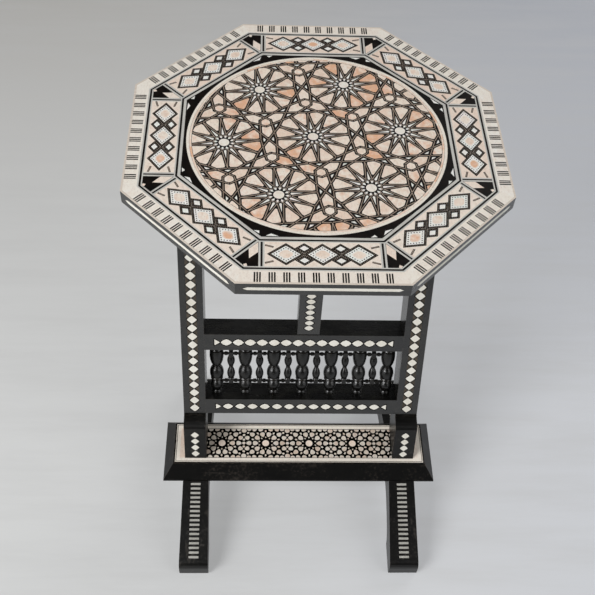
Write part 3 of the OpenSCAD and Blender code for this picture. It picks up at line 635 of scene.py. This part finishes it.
def pebble(place, long_half, wide_half, lean=0.0):
    """A rounded piece with its point away from the middle, or towards it if lean is negative."""
    along = place / abs(place)
    outline = []
    for turn in round_outline(1, 12):
        wide = wide_half * turn.imag * (1 - lean * turn.real)
        outline.append(place + along * complex(long_half * turn.real, wide))
    return outline


def ring_of_pebbles(round_rows, gap_rows):
    """Pieces round one disc, and between it and the next."""
    pieces = []
    for n in range(RING_COUNT):
        pieces += [pebble(out * turn_by(n + part, RING_COUNT), *size) for part, out, *size in round_rows]
    for side in (-1, 1):
        pieces += [pebble(complex(RING_STEP / 2 + x, side * out), *size) for x, out, *size in gap_rows]
    return pieces


def plinth_field(half_width, half_depth):
    """Discs, pebbles and small bits along the plinth."""
    disc = round_outline(radius=4.9, count=16)
    ring = ring_of_pebbles(RING_PEBBLES, GAP_PEBBLES)
    specks = ring_of_pebbles(RING_BITS, GAP_BITS)
    specks.append(pebble(RING_STEP / 2, long_half=2.4, wide_half=2.2))
    discs, pebbles, bits = [], [], []
    for k in range(-3, 3):
        middle = complex(RING_SHIFT + RING_STEP * k, 0)
        discs += moved([disc], 1, middle)
        pebbles += moved(ring, 1, middle)
        bits += moved(specks, 1, middle)
    limits = [(1, half_width), (-1, half_width), (1j, half_depth), (-1j, half_depth)]
    whole = [cut_to(outlines, limits, least=3.0) for outlines in (discs, pebbles)]
    return *whole, cut_to(bits, limits, least=0.6)


# Meshes

MERGE_DISTANCE = 0.002 * MM


def points_at(outline, middle, level):
    return [(middle.x + p.real * MM, middle.y + p.imag * MM, level) for p in outline]


def flat_mesh(name, outlines, middle, level):
    """Faces that look up at one level, about a middle; outlines are in millimetres."""
    points, faces = [], []
    for outline in outlines:
        faces.append(range(len(points), len(points) + len(outline)))
        points += points_at(facing_up(outline), middle, level)
    mesh = bpy.data.meshes.new(name)
    mesh.from_pydata(points, [], faces)
    mesh.update()
    return mesh


def link_piece(name, mesh):
    piece = bpy.data.objects.new(name, mesh)
    bpy.context.scene.collection.objects.link(piece)
    return piece


class Plan:
    """A Geometry Nodes tree with named inputs."""

    def __init__(self, name, inputs):
        self.tree = bpy.data.node_groups.new(name, "GeometryNodeTree")
        self.keys = {}
        face = self.tree.interface
        face.new_socket("Geometry", in_out="OUTPUT", socket_type="NodeSocketGeometry")
        for label, kind in {"Geometry": "Geometry", **inputs, "Material": "Material"}.items():
            made = face.new_socket(label, in_out="INPUT", socket_type="NodeSocket" + kind)
            self.keys[label] = made.identifier
        self.entry = self.tree.nodes.new("NodeGroupInput")
        self.exit = self.tree.nodes.new("NodeGroupOutput")

    def __getitem__(self, label):
        """One of the tree's inputs."""
        return self.entry.outputs[label]

    def node(self, kind, settings, sockets):
        made = self.tree.nodes.new(kind)
        for key, value in settings.items():
            setattr(made, key, value)
        for key, value in sockets.items():
            links = value if isinstance(value, list) else [value]
            for link in links:
                if isinstance(link, bpy.types.NodeSocket):
                    self.tree.links.new(link, made.inputs[key])
                else:
                    made.inputs[key].default_value = link
        return made.outputs

    def row(self, count, step, start=(0.0, 0.0, 0.0)):
        """Points in a straight row."""
        sockets = {"Count": count, "Start Location": start, "Offset": step}
        return self.node("GeometryNodeMeshLine", {"mode": "OFFSET"}, sockets)[0]

    def copies(self, geometry, points, **more):
        """A copy of the geometry on each point."""
        sockets = {"Points": points, "Instance": geometry, **more}
        return self.node("GeometryNodeInstanceOnPoints", {}, sockets)[0]

    def raised(self, height, **sockets):
        """Faces raised on walls of one height."""
        sockets.update({"Offset": (0.0, 0.0, 1.0), "Offset Scale": height, "Individual": True})
        return self.node("GeometryNodeExtrudeMesh", {"mode": "FACES"}, sockets)

    def close(self, geometry):
        """Realizes what was made, sets its material and ends the tree."""
        real = self.node("GeometryNodeRealizeInstances", {}, {"Geometry": geometry})[0]
        sockets = {"Geometry": real, "Material": self["Material"]}
        made = self.node("GeometryNodeSetMaterial", {}, sockets)[0]
        self.tree.links.new(made, self.exit.inputs[0])

    def grow(self, name, mesh, values, material):
        """Runs the tree on a mesh and returns the plain result as a new object."""
        seed = link_piece(name + "_seed", mesh)
        modifier = seed.modifiers.new("plan", "NODES")
        modifier.node_group = self.tree
        modifier[self.keys["Material"]] = material
        for label, value in values.items():
            modifier[self.keys[label]] = value
        shown = seed.evaluated_get(bpy.context.evaluated_depsgraph_get())
        plain = bpy.data.meshes.new_from_object(shown)
        bpy.data.objects.remove(seed)
        plain.name = name
        return link_piece(name, plain)


def tile_plan():
    """Raises flat outlines to small closed tiles with a chamfered rim and a tint each."""
    plan = Plan("let_in_tiles", {"Thickness": "Float", "Chamfer": "Float", "Rim": "Float", "Seed": "Int"})
    index = plan.node("GeometryNodeInputIndex", {}, {})[0]
    chance = plan.node(
        "FunctionNodeRandomValue", {"data_type": "FLOAT"}, {"ID": index, "Seed": plan["Seed"]}
    )
    tint = next(o for o in chance if o.enabled)
    tinted = plan.node(
        "GeometryNodeStoreNamedAttribute",
        {"data_type": "FLOAT", "domain": "FACE"},
        {"Geometry": plan["Geometry"], "Name": "tint", "Value": tint},
    )[0]
    wall = plan.raised(plan["Thickness"], Mesh=tinted)
    rim = plan.raised(plan["Chamfer"], Mesh=wall[0], Selection=wall[1])
    drawn_in = plan.node(
        "GeometryNodeScaleElements",
        {"domain": "FACE"},
        {"Geometry": rim[0], "Selection": rim[1], "Scale": plan["Rim"]},
    )[0]
    under = plan.node("GeometryNodeFlipFaces", {}, {"Mesh": tinted})[0]
    both = plan.node("GeometryNodeJoinGeometry", {}, {"Geometry": [drawn_in, under]})[0]
    merged = {"Geometry": both, "Distance": MERGE_DISTANCE}
    plan.close(plan.node("GeometryNodeMergeByDistance", {}, merged)[0])
    return plan


def border_line_plan():
    """Groups of thin lines along each side of the top."""
    plan = Plan("border_lines", {
        "Line Size": "Vector", "Line Step": "Vector", "Lines": "Int",
        "Group Start": "Vector", "Group Step": "Vector", "Groups": "Int", "Middle": "Vector",
    })
    line = plan.node("GeometryNodeMeshCube", {}, {"Size": plan["Line Size"]})[0]
    group = plan.copies(line, plan.row(plan["Lines"], plan["Line Step"]))
    places = plan.row(plan["Groups"], plan["Group Step"], plan["Group Start"])
    side = plan.copies(group, places)
    hub = plan.row(SIDE_COUNT, (0.0, 0.0, 0.0), plan["Middle"])
    index = plan.node("GeometryNodeInputIndex", {}, {})[0]
    turns = {0: index, 1: math.tau / SIDE_COUNT}
    angle = plan.node("ShaderNodeMath", {"operation": "MULTIPLY"}, turns)[0]
    turn = plan.node("ShaderNodeCombineXYZ", {}, {"Z": angle})[0]
    plan.close(plan.copies(side, hub, Rotation=turn))
    return plan


def dot_plan():
    """Small square dots at even steps along outlines."""
    plan = Plan("dotted_lines", {"Dots": "Int", "Dot Size": "Vector"})
    line = plan.node("GeometryNodeMeshToCurve", {}, {"Mesh": plan["Geometry"]})[0]
    steps = plan.node("GeometryNodeResampleCurve", {}, {"Curve": line, "Count": plan["Dots"]})[0]
    dot = plan.node("GeometryNodeMeshCube", {}, {"Size": plan["Dot Size"]})[0]
    plan.close(plan.copies(dot, steps))
    return plan


TILES = tile_plan()
DOTS = dot_plan()

# Shapes of tiles, in millimetres; rim is the size of the upper face to that of the lower
SQUARE = {"rim": 1.0}
LAID = {"thick": 0.2, "chamfer": 0.02}
LAID_SQUARE = {**LAID, **SQUARE}


def settle(piece, body):
    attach(piece, body)
    return piece


def tiles(name, body, slot, outlines, middle, top, material, seed,
          thick=0.3, chamfer=0.05, rim=0.97, lean=None):
    """One piece of inlaid tiles whose tops lie at one level, or on a leaning face."""
    mesh = flat_mesh(name, outlines, middle, top - thick * MM)
    values = {
        "Thickness": (thick - chamfer) * MM,
        "Chamfer": chamfer * MM,
        "Rim": rim,
        "Seed": seed,
    }
    piece = TILES.grow(name, mesh, values, material)
    if lean is not None:
        piece.data.transform(lean)
    return settle(piece, body)


# Marquetry of the top

TOP = Vector((0.0, (top_low.y + top_high.y) / 2, top_high.z))
LEVEL_GROUND = TOP.z - 0.25 * MM
LEVEL_TILE = TOP.z - 0.1 * MM
LEVEL_LAID = TOP.z - 0.05 * MM
LEVEL_DOT = LEVEL_LAID - 0.06 * MM
GROUND_THICK = 1.35
DOT_THICK = 0.2


def half_width(node):
    low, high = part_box(node)
    return (high.x - low.x) / 2 / MM


# Distances from the middle out to the sides, in millimetres
EDGE = half_width("border_veneer")
STRING_OUT = half_width("outer_stringing") + 1.0
PANEL_TOP = half_width("panel_veneers") + 1.0
PANEL_LOW = half_width("inner_stringing") + 1.5
PANEL_MID = (PANEL_TOP + PANEL_LOW) / 2
SPANDREL_OUT = PANEL_LOW - 6.4
DISC = half_width("star_medallion")
# A panel's half length, the step of its lozenges and the width of its lines
PANEL_HALF = 55.5
LOZENGE_STEP = 35.0
ZIGZAG_WIDE = 2.6

# Half the turn from side to side, and the directions of sides and corners
HALF_TURN = math.pi / SIDE_COUNT
SIDES = [cmath.rect(1, math.tau * k / SIDE_COUNT - math.pi / 2) for k in range(SIDE_COUNT)]
CORNERS = [cmath.rect(1, math.tau * (k + 0.5) / SIDE_COUNT - math.pi / 2) for k in range(SIDE_COUNT)]


def top_tiles(name, slot, outlines, level, material, seed, **shape):
    return tiles(name, "top", slot, outlines, TOP, level, material, seed, **shape)


def on_each(directions, outlines):
    """Outlines turned to each side or corner; their real part points outwards."""
    return [[p * way for p in outline] for way in directions for outline in outlines]


def ring_staves(outside, inside):
    """Eight mitred staves between two distances from the middle."""
    slope = math.tan(HALF_TURN)
    left, right = complex(1, -slope), complex(1, slope)
    return on_each(SIDES, [[inside * left, outside * left, outside * right, inside * right]])


def lay_ground():
    octagon = [EDGE / math.cos(HALF_TURN) * corner for corner in CORNERS]
    piece = top_tiles("marquetry_ground", "black_wood", [octagon], LEVEL_GROUND, FILLING, 1,
                      thick=GROUND_THICK, chamfer=0.02, rim=1.0)
    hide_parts("border_veneer", "outer_stringing", "panel_veneers", "corner_fields",
                "inner_stringing", "spandrels", "star_medallion")


def lay_border():
    staves = ring_staves(EDGE, STRING_OUT)
    top_tiles("border_staves", "shell", staves, LEVEL_TILE, SHELL_CREAM, 4, **SQUARE)
    groups, group_step = 10, 13.8
    lines, line_step = 3, 2.55
    line_wide, line_thick = 1.5, 0.3
    line_in, line_out = STRING_OUT + 2.0, EDGE - 0.1
    first = -(groups - 1) / 2 * group_step - (lines - 1) / 2 * line_step
    values = {
        "Line Size": (line_wide * MM, (line_out - line_in) * MM, line_thick * MM),
        "Line Step": (line_step * MM, 0.0, 0.0),
        "Lines": lines,
        "Group Start": (first * MM, -(line_in + line_out) / 2 * MM, 0.0),
        "Group Step": (group_step * MM, 0.0, 0.0),
        "Groups": groups,
        "Middle": (TOP.x, TOP.y, LEVEL_LAID - line_thick / 2 * MM),
    }
    empty = bpy.data.meshes.new("border_lines")
    piece = border_line_plan().grow("border_lines", empty, values, BLACK_ACROSS)
    settle(piece, "top")


def lay_stringing():
    pale = ring_staves(STRING_OUT, STRING_OUT - 1.5)
    pale += ring_staves(STRING_OUT - 3.7, PANEL_TOP)
    pale += ring_staves(PANEL_LOW, PANEL_LOW - 1.3)
    pale += ring_staves(PANEL_LOW - 3.5, SPANDREL_OUT)
    top_tiles("stringing_strips", "bone", pale, LEVEL_TILE, BONE_GREY, 7, **SQUARE)


def lay_dots(name, outlines, count, size, material):
    """Small squares in a row along each outline."""
    points, edges = [], []
    for outline in outlines:
        edges += sides_of(list(range(len(points), len(points) + len(outline))))
        points += points_at(outline, TOP, LEVEL_DOT)
    mesh = bpy.data.meshes.new(name)
    mesh.from_pydata(points, edges, [])
    values = {"Dots": count, "Dot Size": (size * MM, size * MM, DOT_THICK * MM)}
    settle(DOTS.grow(name, mesh, values, material), "top")


def panel_lozenges():
    """A panel's row of big lozenges, and the pairs of small ones between them."""
    big = [rhombus(complex(PANEL_MID, LOZENGE_STEP * k), across=12.3, along=16.2) for k in (-1, 0, 1)]
    small = []
    for k in (-0.5, 0.5):
        for off in (-7.6, 7.6):
            small.append(rhombus(complex(PANEL_MID + off, LOZENGE_STEP * k), across=5.0, along=6.8))
    return big, small


def panel_tails():
    """Both ends of the short slanting lines in a panel's corners."""
    tails = []
    for end in (-1, 1):
        for lean in (-1, 1):
            foot = complex(PANEL_MID + lean * 11.2, end * (PANEL_HALF - 0.6))
            head = complex(PANEL_MID + lean * 8.8, end * (PANEL_HALF - 8.6))
            tails.append((foot, head))
    return tails


def panel_end_strips():
    """Two pale strips across each end of a panel."""
    strips = []
    for end in (-1, 1):
        for reach, width in ((PANEL_HALF + 0.85, 1.7), (PANEL_HALF + 4.7, 1.9)):
            off = complex(0, end * reach)
            strips.append(bar(PANEL_LOW + off, PANEL_TOP + off, width))
    return strips


def lay_panels():
    ground = rectangle(complex(PANEL_LOW, -PANEL_HALF), complex(PANEL_TOP, PANEL_HALF))
    big, small = panel_lozenges()
    tails = panel_tails()
    lines = []
    for outline in big + small:
        lines += outline_bars(outline, ZIGZAG_WIDE)
    lines += [bar(foot, head, width=2.0) for foot, head in tails]
    white = [inset(outline, ZIGZAG_WIDE / 2) for outline in big + small]
    halos = [softened(inset(outline, gap=4.6), share=0.22) for outline in big]
    hearts = [softened(inset(outline, gap=5.7), share=0.25) for outline in big]
    dotted = [inset(outline, gap=3.0) for outline in big]
    for name, slot, outlines, level, material, seed, shape in (
        ("panel_grounds", "shell", [ground], LEVEL_TILE, SHELL_PEACH, 11, SQUARE),
        ("panel_zigzags", "black_wood", lines, LEVEL_LAID, FILLING, 12, LAID_SQUARE),
        ("panel_lozenges", "bone", white, LEVEL_LAID, PEARL, 13, LAID),
        ("panel_lozenge_halos", "shell", halos, LEVEL_LAID + 0.01 * MM, SHELL_PEACH, 14, LAID),
        ("panel_lozenge_hearts", "shell", hearts, LEVEL_LAID + 0.02 * MM, SHELL, 16, LAID),
        ("panel_end_strips", "bone", panel_end_strips(), LEVEL_TILE, BONE_GREY, 15, SQUARE),
    ):
        top_tiles(name, slot, on_each(SIDES, outlines), level, material, seed, **shape)
    for name, slot, outlines, count, size, material in (
        ("lozenge_dots", "black_wood", dotted, 20, 1.15, BLACK_ACROSS),
        ("zigzag_dots", "bone", big, 44, 0.55, STRAP),
        ("small_zigzag_dots", "bone", small, 16, 0.55, STRAP),
    ):
        lay_dots(name, on_each(SIDES, outlines), count, size, material)
    cores = on_each(SIDES, [bar(foot, head, width=0.6, short=0.7) for foot, head in tails])
    top_tiles("panel_tail_cores", "bone", cores, LEVEL_LAID + 0.03 * MM, STRAP, 17, **LAID_SQUARE)


def lay_corners():
    root = (PANEL_HALF + 5.7) / math.sin(HALF_TURN)
    tip = PANEL_TOP / math.cos(HALF_TURN)
    darts = [
        kite(root + 1.0, widest=root + 12.5, end=root + 23.0, half=4.9),
        kite(tip - 4.2, widest=tip - 1.6, end=tip, half=2.2),
    ]
    top_tiles("corner_darts", "shell", on_each(CORNERS, darts), LEVEL_TILE, SHELL_PEACH, 21)
    spandrel_tip = SPANDREL_OUT / math.cos(HALF_TURN)
    leaves = []
    for side, start, end in ((1, 4.5, 17.0), (-1, 4.5, 11.0)):
        along = cmath.rect(1, side * (math.pi / 2 + HALF_TURN))
        inward = cmath.rect(1, side * (math.pi + HALF_TURN))
        root = spandrel_tip + inward * 1.0
        leaves.append([
            root + along * start + inward * 0.6,
            root + along * (start * 0.6 + end * 0.4) + inward * 3.4,
            root + along * end,
        ])
    top_tiles("spandrel_darts", "bone", on_each(CORNERS, leaves), LEVEL_TILE, PEARL, 22)


def lay_medallion():
    band = DISC - 2.4
    field = medallion_field(band - 0.5)
    warm = field.warm + ring_pieces(DISC - 0.2, band, count=52)
    top_tiles("medallion_petals", "shell", warm, LEVEL_TILE, SHELL, 31)
    top_tiles("medallion_pearls", "shell", field.pale, LEVEL_TILE, PEARL, 32)
    top_tiles("medallion_hubs", "shell", field.hubs, LEVEL_TILE, SHELL_CREAM, 34)
    top_tiles("medallion_straps", "bone", field.cores, LEVEL_TILE, STRAP, 33, **SQUARE)


def lay_plinth():
    low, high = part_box("plinth_star_panel")
    middle = (low + high) / 2
    half = complex(*((high - low) / 2 / MM).xy)
    ground = tiles("plinth_star_ground", "stand", "black_wood", [rectangle(-half, half)], middle,
                   high.z - 0.15 * MM, MASTIC, 41, thick=1.4, chamfer=0.02, rim=1.0)
    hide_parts("plinth_star_panel")
    shoe_low, shoe_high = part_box("shoe_right")
    reach = (shoe_low.x + shoe_high.x) / 2 / MM
    rim = 0.8
    discs, pebbles, bits = plinth_field(reach, half.imag - rim)
    plain = [bar(side * (reach + rim), side * half.real, 2 * half.imag) for side in (-1, 1)]
    for name, outlines, material, seed, shape in (
        ("plinth_discs", discs, SHELL_PEACH, 46, {}),
        # The pebbles and bits take the darker shell copy, with the top's shade painted in
        ("plinth_pebbles", pebbles, SHELL_PAINTED_SHADE, 42, {}),
        ("plinth_pebble_bits", bits, SHELL_PAINTED_SHADE, 43, {}),
        ("plinth_plain_ends", plain, SHELL_PEACH, 45, SQUARE),
    ):
        tiles(name, "stand", "shell", outlines, middle, high.z, material, seed, **shape)
    border_low, border_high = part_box("plinth_border")
    line_half = complex(*((border_high - border_low) / 2 / MM).xy) - complex(1.3, 1.3)
    line = outline_bars(rectangle(-line_half, line_half), width=0.8)
    tiles("plinth_border_line", "stand", "black_wood", line, middle, border_high.z + 0.03 * MM,
          FILLING, 44, thick=0.2, chamfer=0.01, rim=1.0)


# Filling round the lozenges of the stand

RAKE = math.radians(20.0)
RIGHT = Vector((1.0, 0.0, 0.0))
UP_POST = Vector((0.0, math.sin(RAKE), math.cos(RAKE)))
UP_PROP = Vector((0.0, 0.0, 1.0))
FACE_DEPTH = 0.05 * MM
FILLING_PROUD = 0.03 * MM
FILLING_THICK = 0.15
LINE_OFF = 0.65
LINE_WIDE = 1.2
NOTCH_TALL = 0.345
NOTCH_DEEP = 0.35


def separate_pieces(node):
    """Points of each separate piece of a CAD node."""
    mesh = nodes[node].data
    places = [tuple(round(c, 6) for c in v.co) for v in mesh.vertices]
    owner = {place: place for place in places}

    def leader(place):
        while owner[place] != place:
            place = owner[place]
        return place

    for face in mesh.polygons:
        leaders = [leader(places[k]) for k in face.vertices]
        for other in leaders[1:]:
            owner[leader(other)] = leader(leaders[0])
    groups = {}
    for place in owner:
        groups.setdefault(leader(place), []).append(Vector(place))
    return list(groups.values())


def lozenge_outlines(node, up):
    """Outlines of a node's lozenges on their face, and the turn that puts that in place."""
    off = RIGHT.cross(up)
    axes = Matrix((RIGHT, up, off)).transposed().to_4x4()
    face = max(v.co.dot(off) for v in nodes[node].data.vertices)
    lean = Matrix.Translation(off * face) @ axes
    flatten = lean.inverted()
    outlines = []
    for points in separate_pieces(node):
        flat = [flatten @ point for point in points]
        flat = [point.xy / MM for point in flat if point.z > -FACE_DEPTH]
        outlines.append([complex(*flat[k]) for k in convex_hull_2d(flat)])
    return outlines, lean


def lay_lozenge_lines(name, node, up, seed):
    """Thin dark lines of filling round each lozenge."""
    outlines, lean = lozenge_outlines(node, up)
    lines = []
    for outline in outlines:
        lines += [bar(a, b, LINE_WIDE) for a, b in sides_of(inset(outline, -LINE_OFF))]
    tiles(name, "stand", "black_wood", lines, Vector(), FILLING_PROUD, MASTIC, seed,
          thick=FILLING_THICK, chamfer=0.01, rim=1.0, lean=lean)


def lay_notches(name, node, up, seed):
    """Brown triangles in the notches between the lozenges of both posts."""
    outlines, lean = lozenge_outlines(node, up)
    triangles = []
    for sign in (-1, 1):
        row = [outline for outline in outlines if outline[0].real * sign > 0]
        row.sort(key=lambda outline: min(point.imag for point in outline))
        for lower, upper in zip(row, row[1:]):
            level = (max(p.imag for p in lower) + min(p.imag for p in upper)) / 2
            left = min(p.real for p in lower)
            right = max(p.real for p in lower)
            half = (right - left) * NOTCH_TALL
            for edge, far in ((left, right), (right, left)):
                inner = edge * (1 - NOTCH_DEEP) + far * NOTCH_DEEP
                base = [complex(edge, level - half), complex(edge, level + half)]
                triangles.append(base + [complex(inner, level)])
    tiles(name, "stand", "plain_wood", triangles, Vector(), FILLING_PROUD, BROWN, seed,
          thick=FILLING_THICK, chamfer=0.02, rim=0.98, lean=lean)


lay_ground()
lay_border()
lay_stringing()
lay_panels()
lay_corners()
lay_medallion()
lay_plinth()
lay_lozenge_lines("post_lozenge_lines", "post_lozenges", UP_POST, 51)
lay_lozenge_lines("upper_rail_lines", "upper_rail_lozenges", UP_POST, 52)
lay_lozenge_lines("lower_rail_lines", "lower_rail_lozenges", UP_POST, 53)
lay_lozenge_lines("prop_lines", "prop_lozenges", UP_PROP, 54)
lay_notches("post_notches", "post_lozenges", UP_POST, 55)


# Finishes of the CAD pieces; a later line goes over an earlier one


def finish_nodes(material, *starts):
    for name, piece in nodes.items():
        if name.startswith(starts):
            piece.data.materials.clear()
            piece.data.materials.append(material)


finish_nodes(BLACK_UP, "post_left", "post_right", "centre_prop")
finish_nodes(BLACK_ACROSS, "upper_rail", "lower_rail", "head_rail", "plinth_board")
finish_nodes(BLACK_TOP, "top_board")
finish_nodes(BLACK_PLINTH, "plinth_moulding")
finish_nodes(BLACK_FEET, "foot_left", "foot_right", "shoe_left", "shoe_right")
finish_nodes(BLACK_TURNED, "tall_spindle", "short_spindle", "upper_rods", "lower_rods")
finish_nodes(BONE, "post_lozenges", "prop_lozenges", "upper_rail_lozenges", "lower_rail_lozenges",
             "shoe_lozenges", "rim_strips")
finish_nodes(BONE_DULL, "foot_bars")
finish_nodes(SHELL_CREAM, "plinth_border", "medallion_ring")
finish_nodes(WOOD, "batten_left", "batten_right", "keeper_block", "turn_button", "post_dowels")
finish_nodes(IRON, "foot_screws", "batten_screws", "button_screw", "pivot_pins")


# Floor, light and camera, in metres

FLOOR_HALF = 30.0
ROOM_DIM = (0.035, 0.036, 0.037)
ROOM_BRIGHT = (1.1, 1.12, 1.15)
ROOM_BACK = (0.006, 0.006, 0.006)
ROOM_WALL = (0.5, 0.505, 0.51)
CAMERA_PLACE = (-0.0609, -0.7011, 1.2305)
# Yaw, pitch and roll
CAMERA_TURNS = (4.027, 51.664, -3.808)
SENSOR_WIDTH = 36.0
FOCAL_PIXELS = 900.3
PICTURE_PIXELS = 595.0


def lay_floor():
    corner = complex(FLOOR_HALF, FLOOR_HALF) / MM
    mesh = flat_mesh("floor", [rectangle(-corner, corner)], Vector(), 0.0)
    floor = link_piece("floor", mesh)
    mesh.materials.append(pale_floor())


def hang_lamp(name, place, aim, size, power):
    lamp = bpy.data.lights.new(name, "AREA")
    lamp.shape = "DISK"
    lamp.size = size
    lamp.energy = power
    holder = bpy.data.objects.new(name, lamp)
    holder.location = place
    holder.visible_camera = False
    holder.rotation_euler = (Vector(aim) - Vector(place)).to_track_quat("-Z", "Y").to_euler()
    bpy.context.scene.collection.objects.link(holder)


def light_room():
    """Soft light from both sides and pale walls; overhead and behind the table the room is dim."""
    room = Finish(bpy.data.worlds.new("soft_room"))
    direction = room.node("ShaderNodeTexCoord", {}, {}, "Generated")
    side = room.part_of(direction, "X")
    back = room.part_of(direction, "Y").between(0.0, 0.6)
    bright = (side * -1.0).between(0.35, 0.8) + side.between(0.4, 0.85) * 0.65
    light = room.mix(bright * (1.0 - back * 0.7), ROOM_DIM, ROOM_BRIGHT)
    light = room.mix(back * 0.85, light, ROOM_BACK)
    height = room.part_of(direction, "Z")
    wall = height.between(-0.3, -0.1) - height.between(0.02, 0.16)
    colour = room.mix(wall, light, ROOM_WALL)
    sky = room.node("ShaderNodeBackground", {}, {"Color": colour})
    bpy.context.scene.world = room.close(sky, "ShaderNodeOutputWorld")
    hang_lamp("window_left", (-2.0, -1.6, 2.1), aim=(0.0, 0.0, 0.35), size=1.6, power=88.0)
    hang_lamp("fill_right", (2.0, -1.6, 2.0), aim=(0.0, 0.0, 0.35), size=2.2, power=24.0)
    hang_lamp("fill_back", (2.0, 1.8, 1.6), aim=(0.0, 0.0, 0.45), size=1.8, power=28.0)


def place_camera():
    yaw, pitch, roll = (math.radians(angle) for angle in CAMERA_TURNS)
    forward = Vector((
        math.sin(yaw) * math.cos(pitch),
        math.cos(yaw) * math.cos(pitch),
        -math.sin(pitch),
    ))
    right = Vector((math.cos(yaw), -math.sin(yaw), 0.0))
    down = forward.cross(right)
    right_turned = right * math.cos(roll) + down * math.sin(roll)
    down_turned = down * math.cos(roll) - right * math.sin(roll)
    lens = bpy.data.cameras.new("camera")
    lens.sensor_width = SENSOR_WIDTH
    lens.lens = FOCAL_PIXELS / PICTURE_PIXELS * SENSOR_WIDTH
    camera = bpy.data.objects.new("camera", lens)
    axes = Matrix((right_turned, -down_turned, -forward)).transposed()
    camera.matrix_world = Matrix.Translation(CAMERA_PLACE) @ axes.to_4x4()
    bpy.context.scene.collection.objects.link(camera)
    bpy.context.scene.camera = camera


lay_floor()
light_room()
place_camera()
bpy.context.scene.view_settings.view_transform = "Standard"
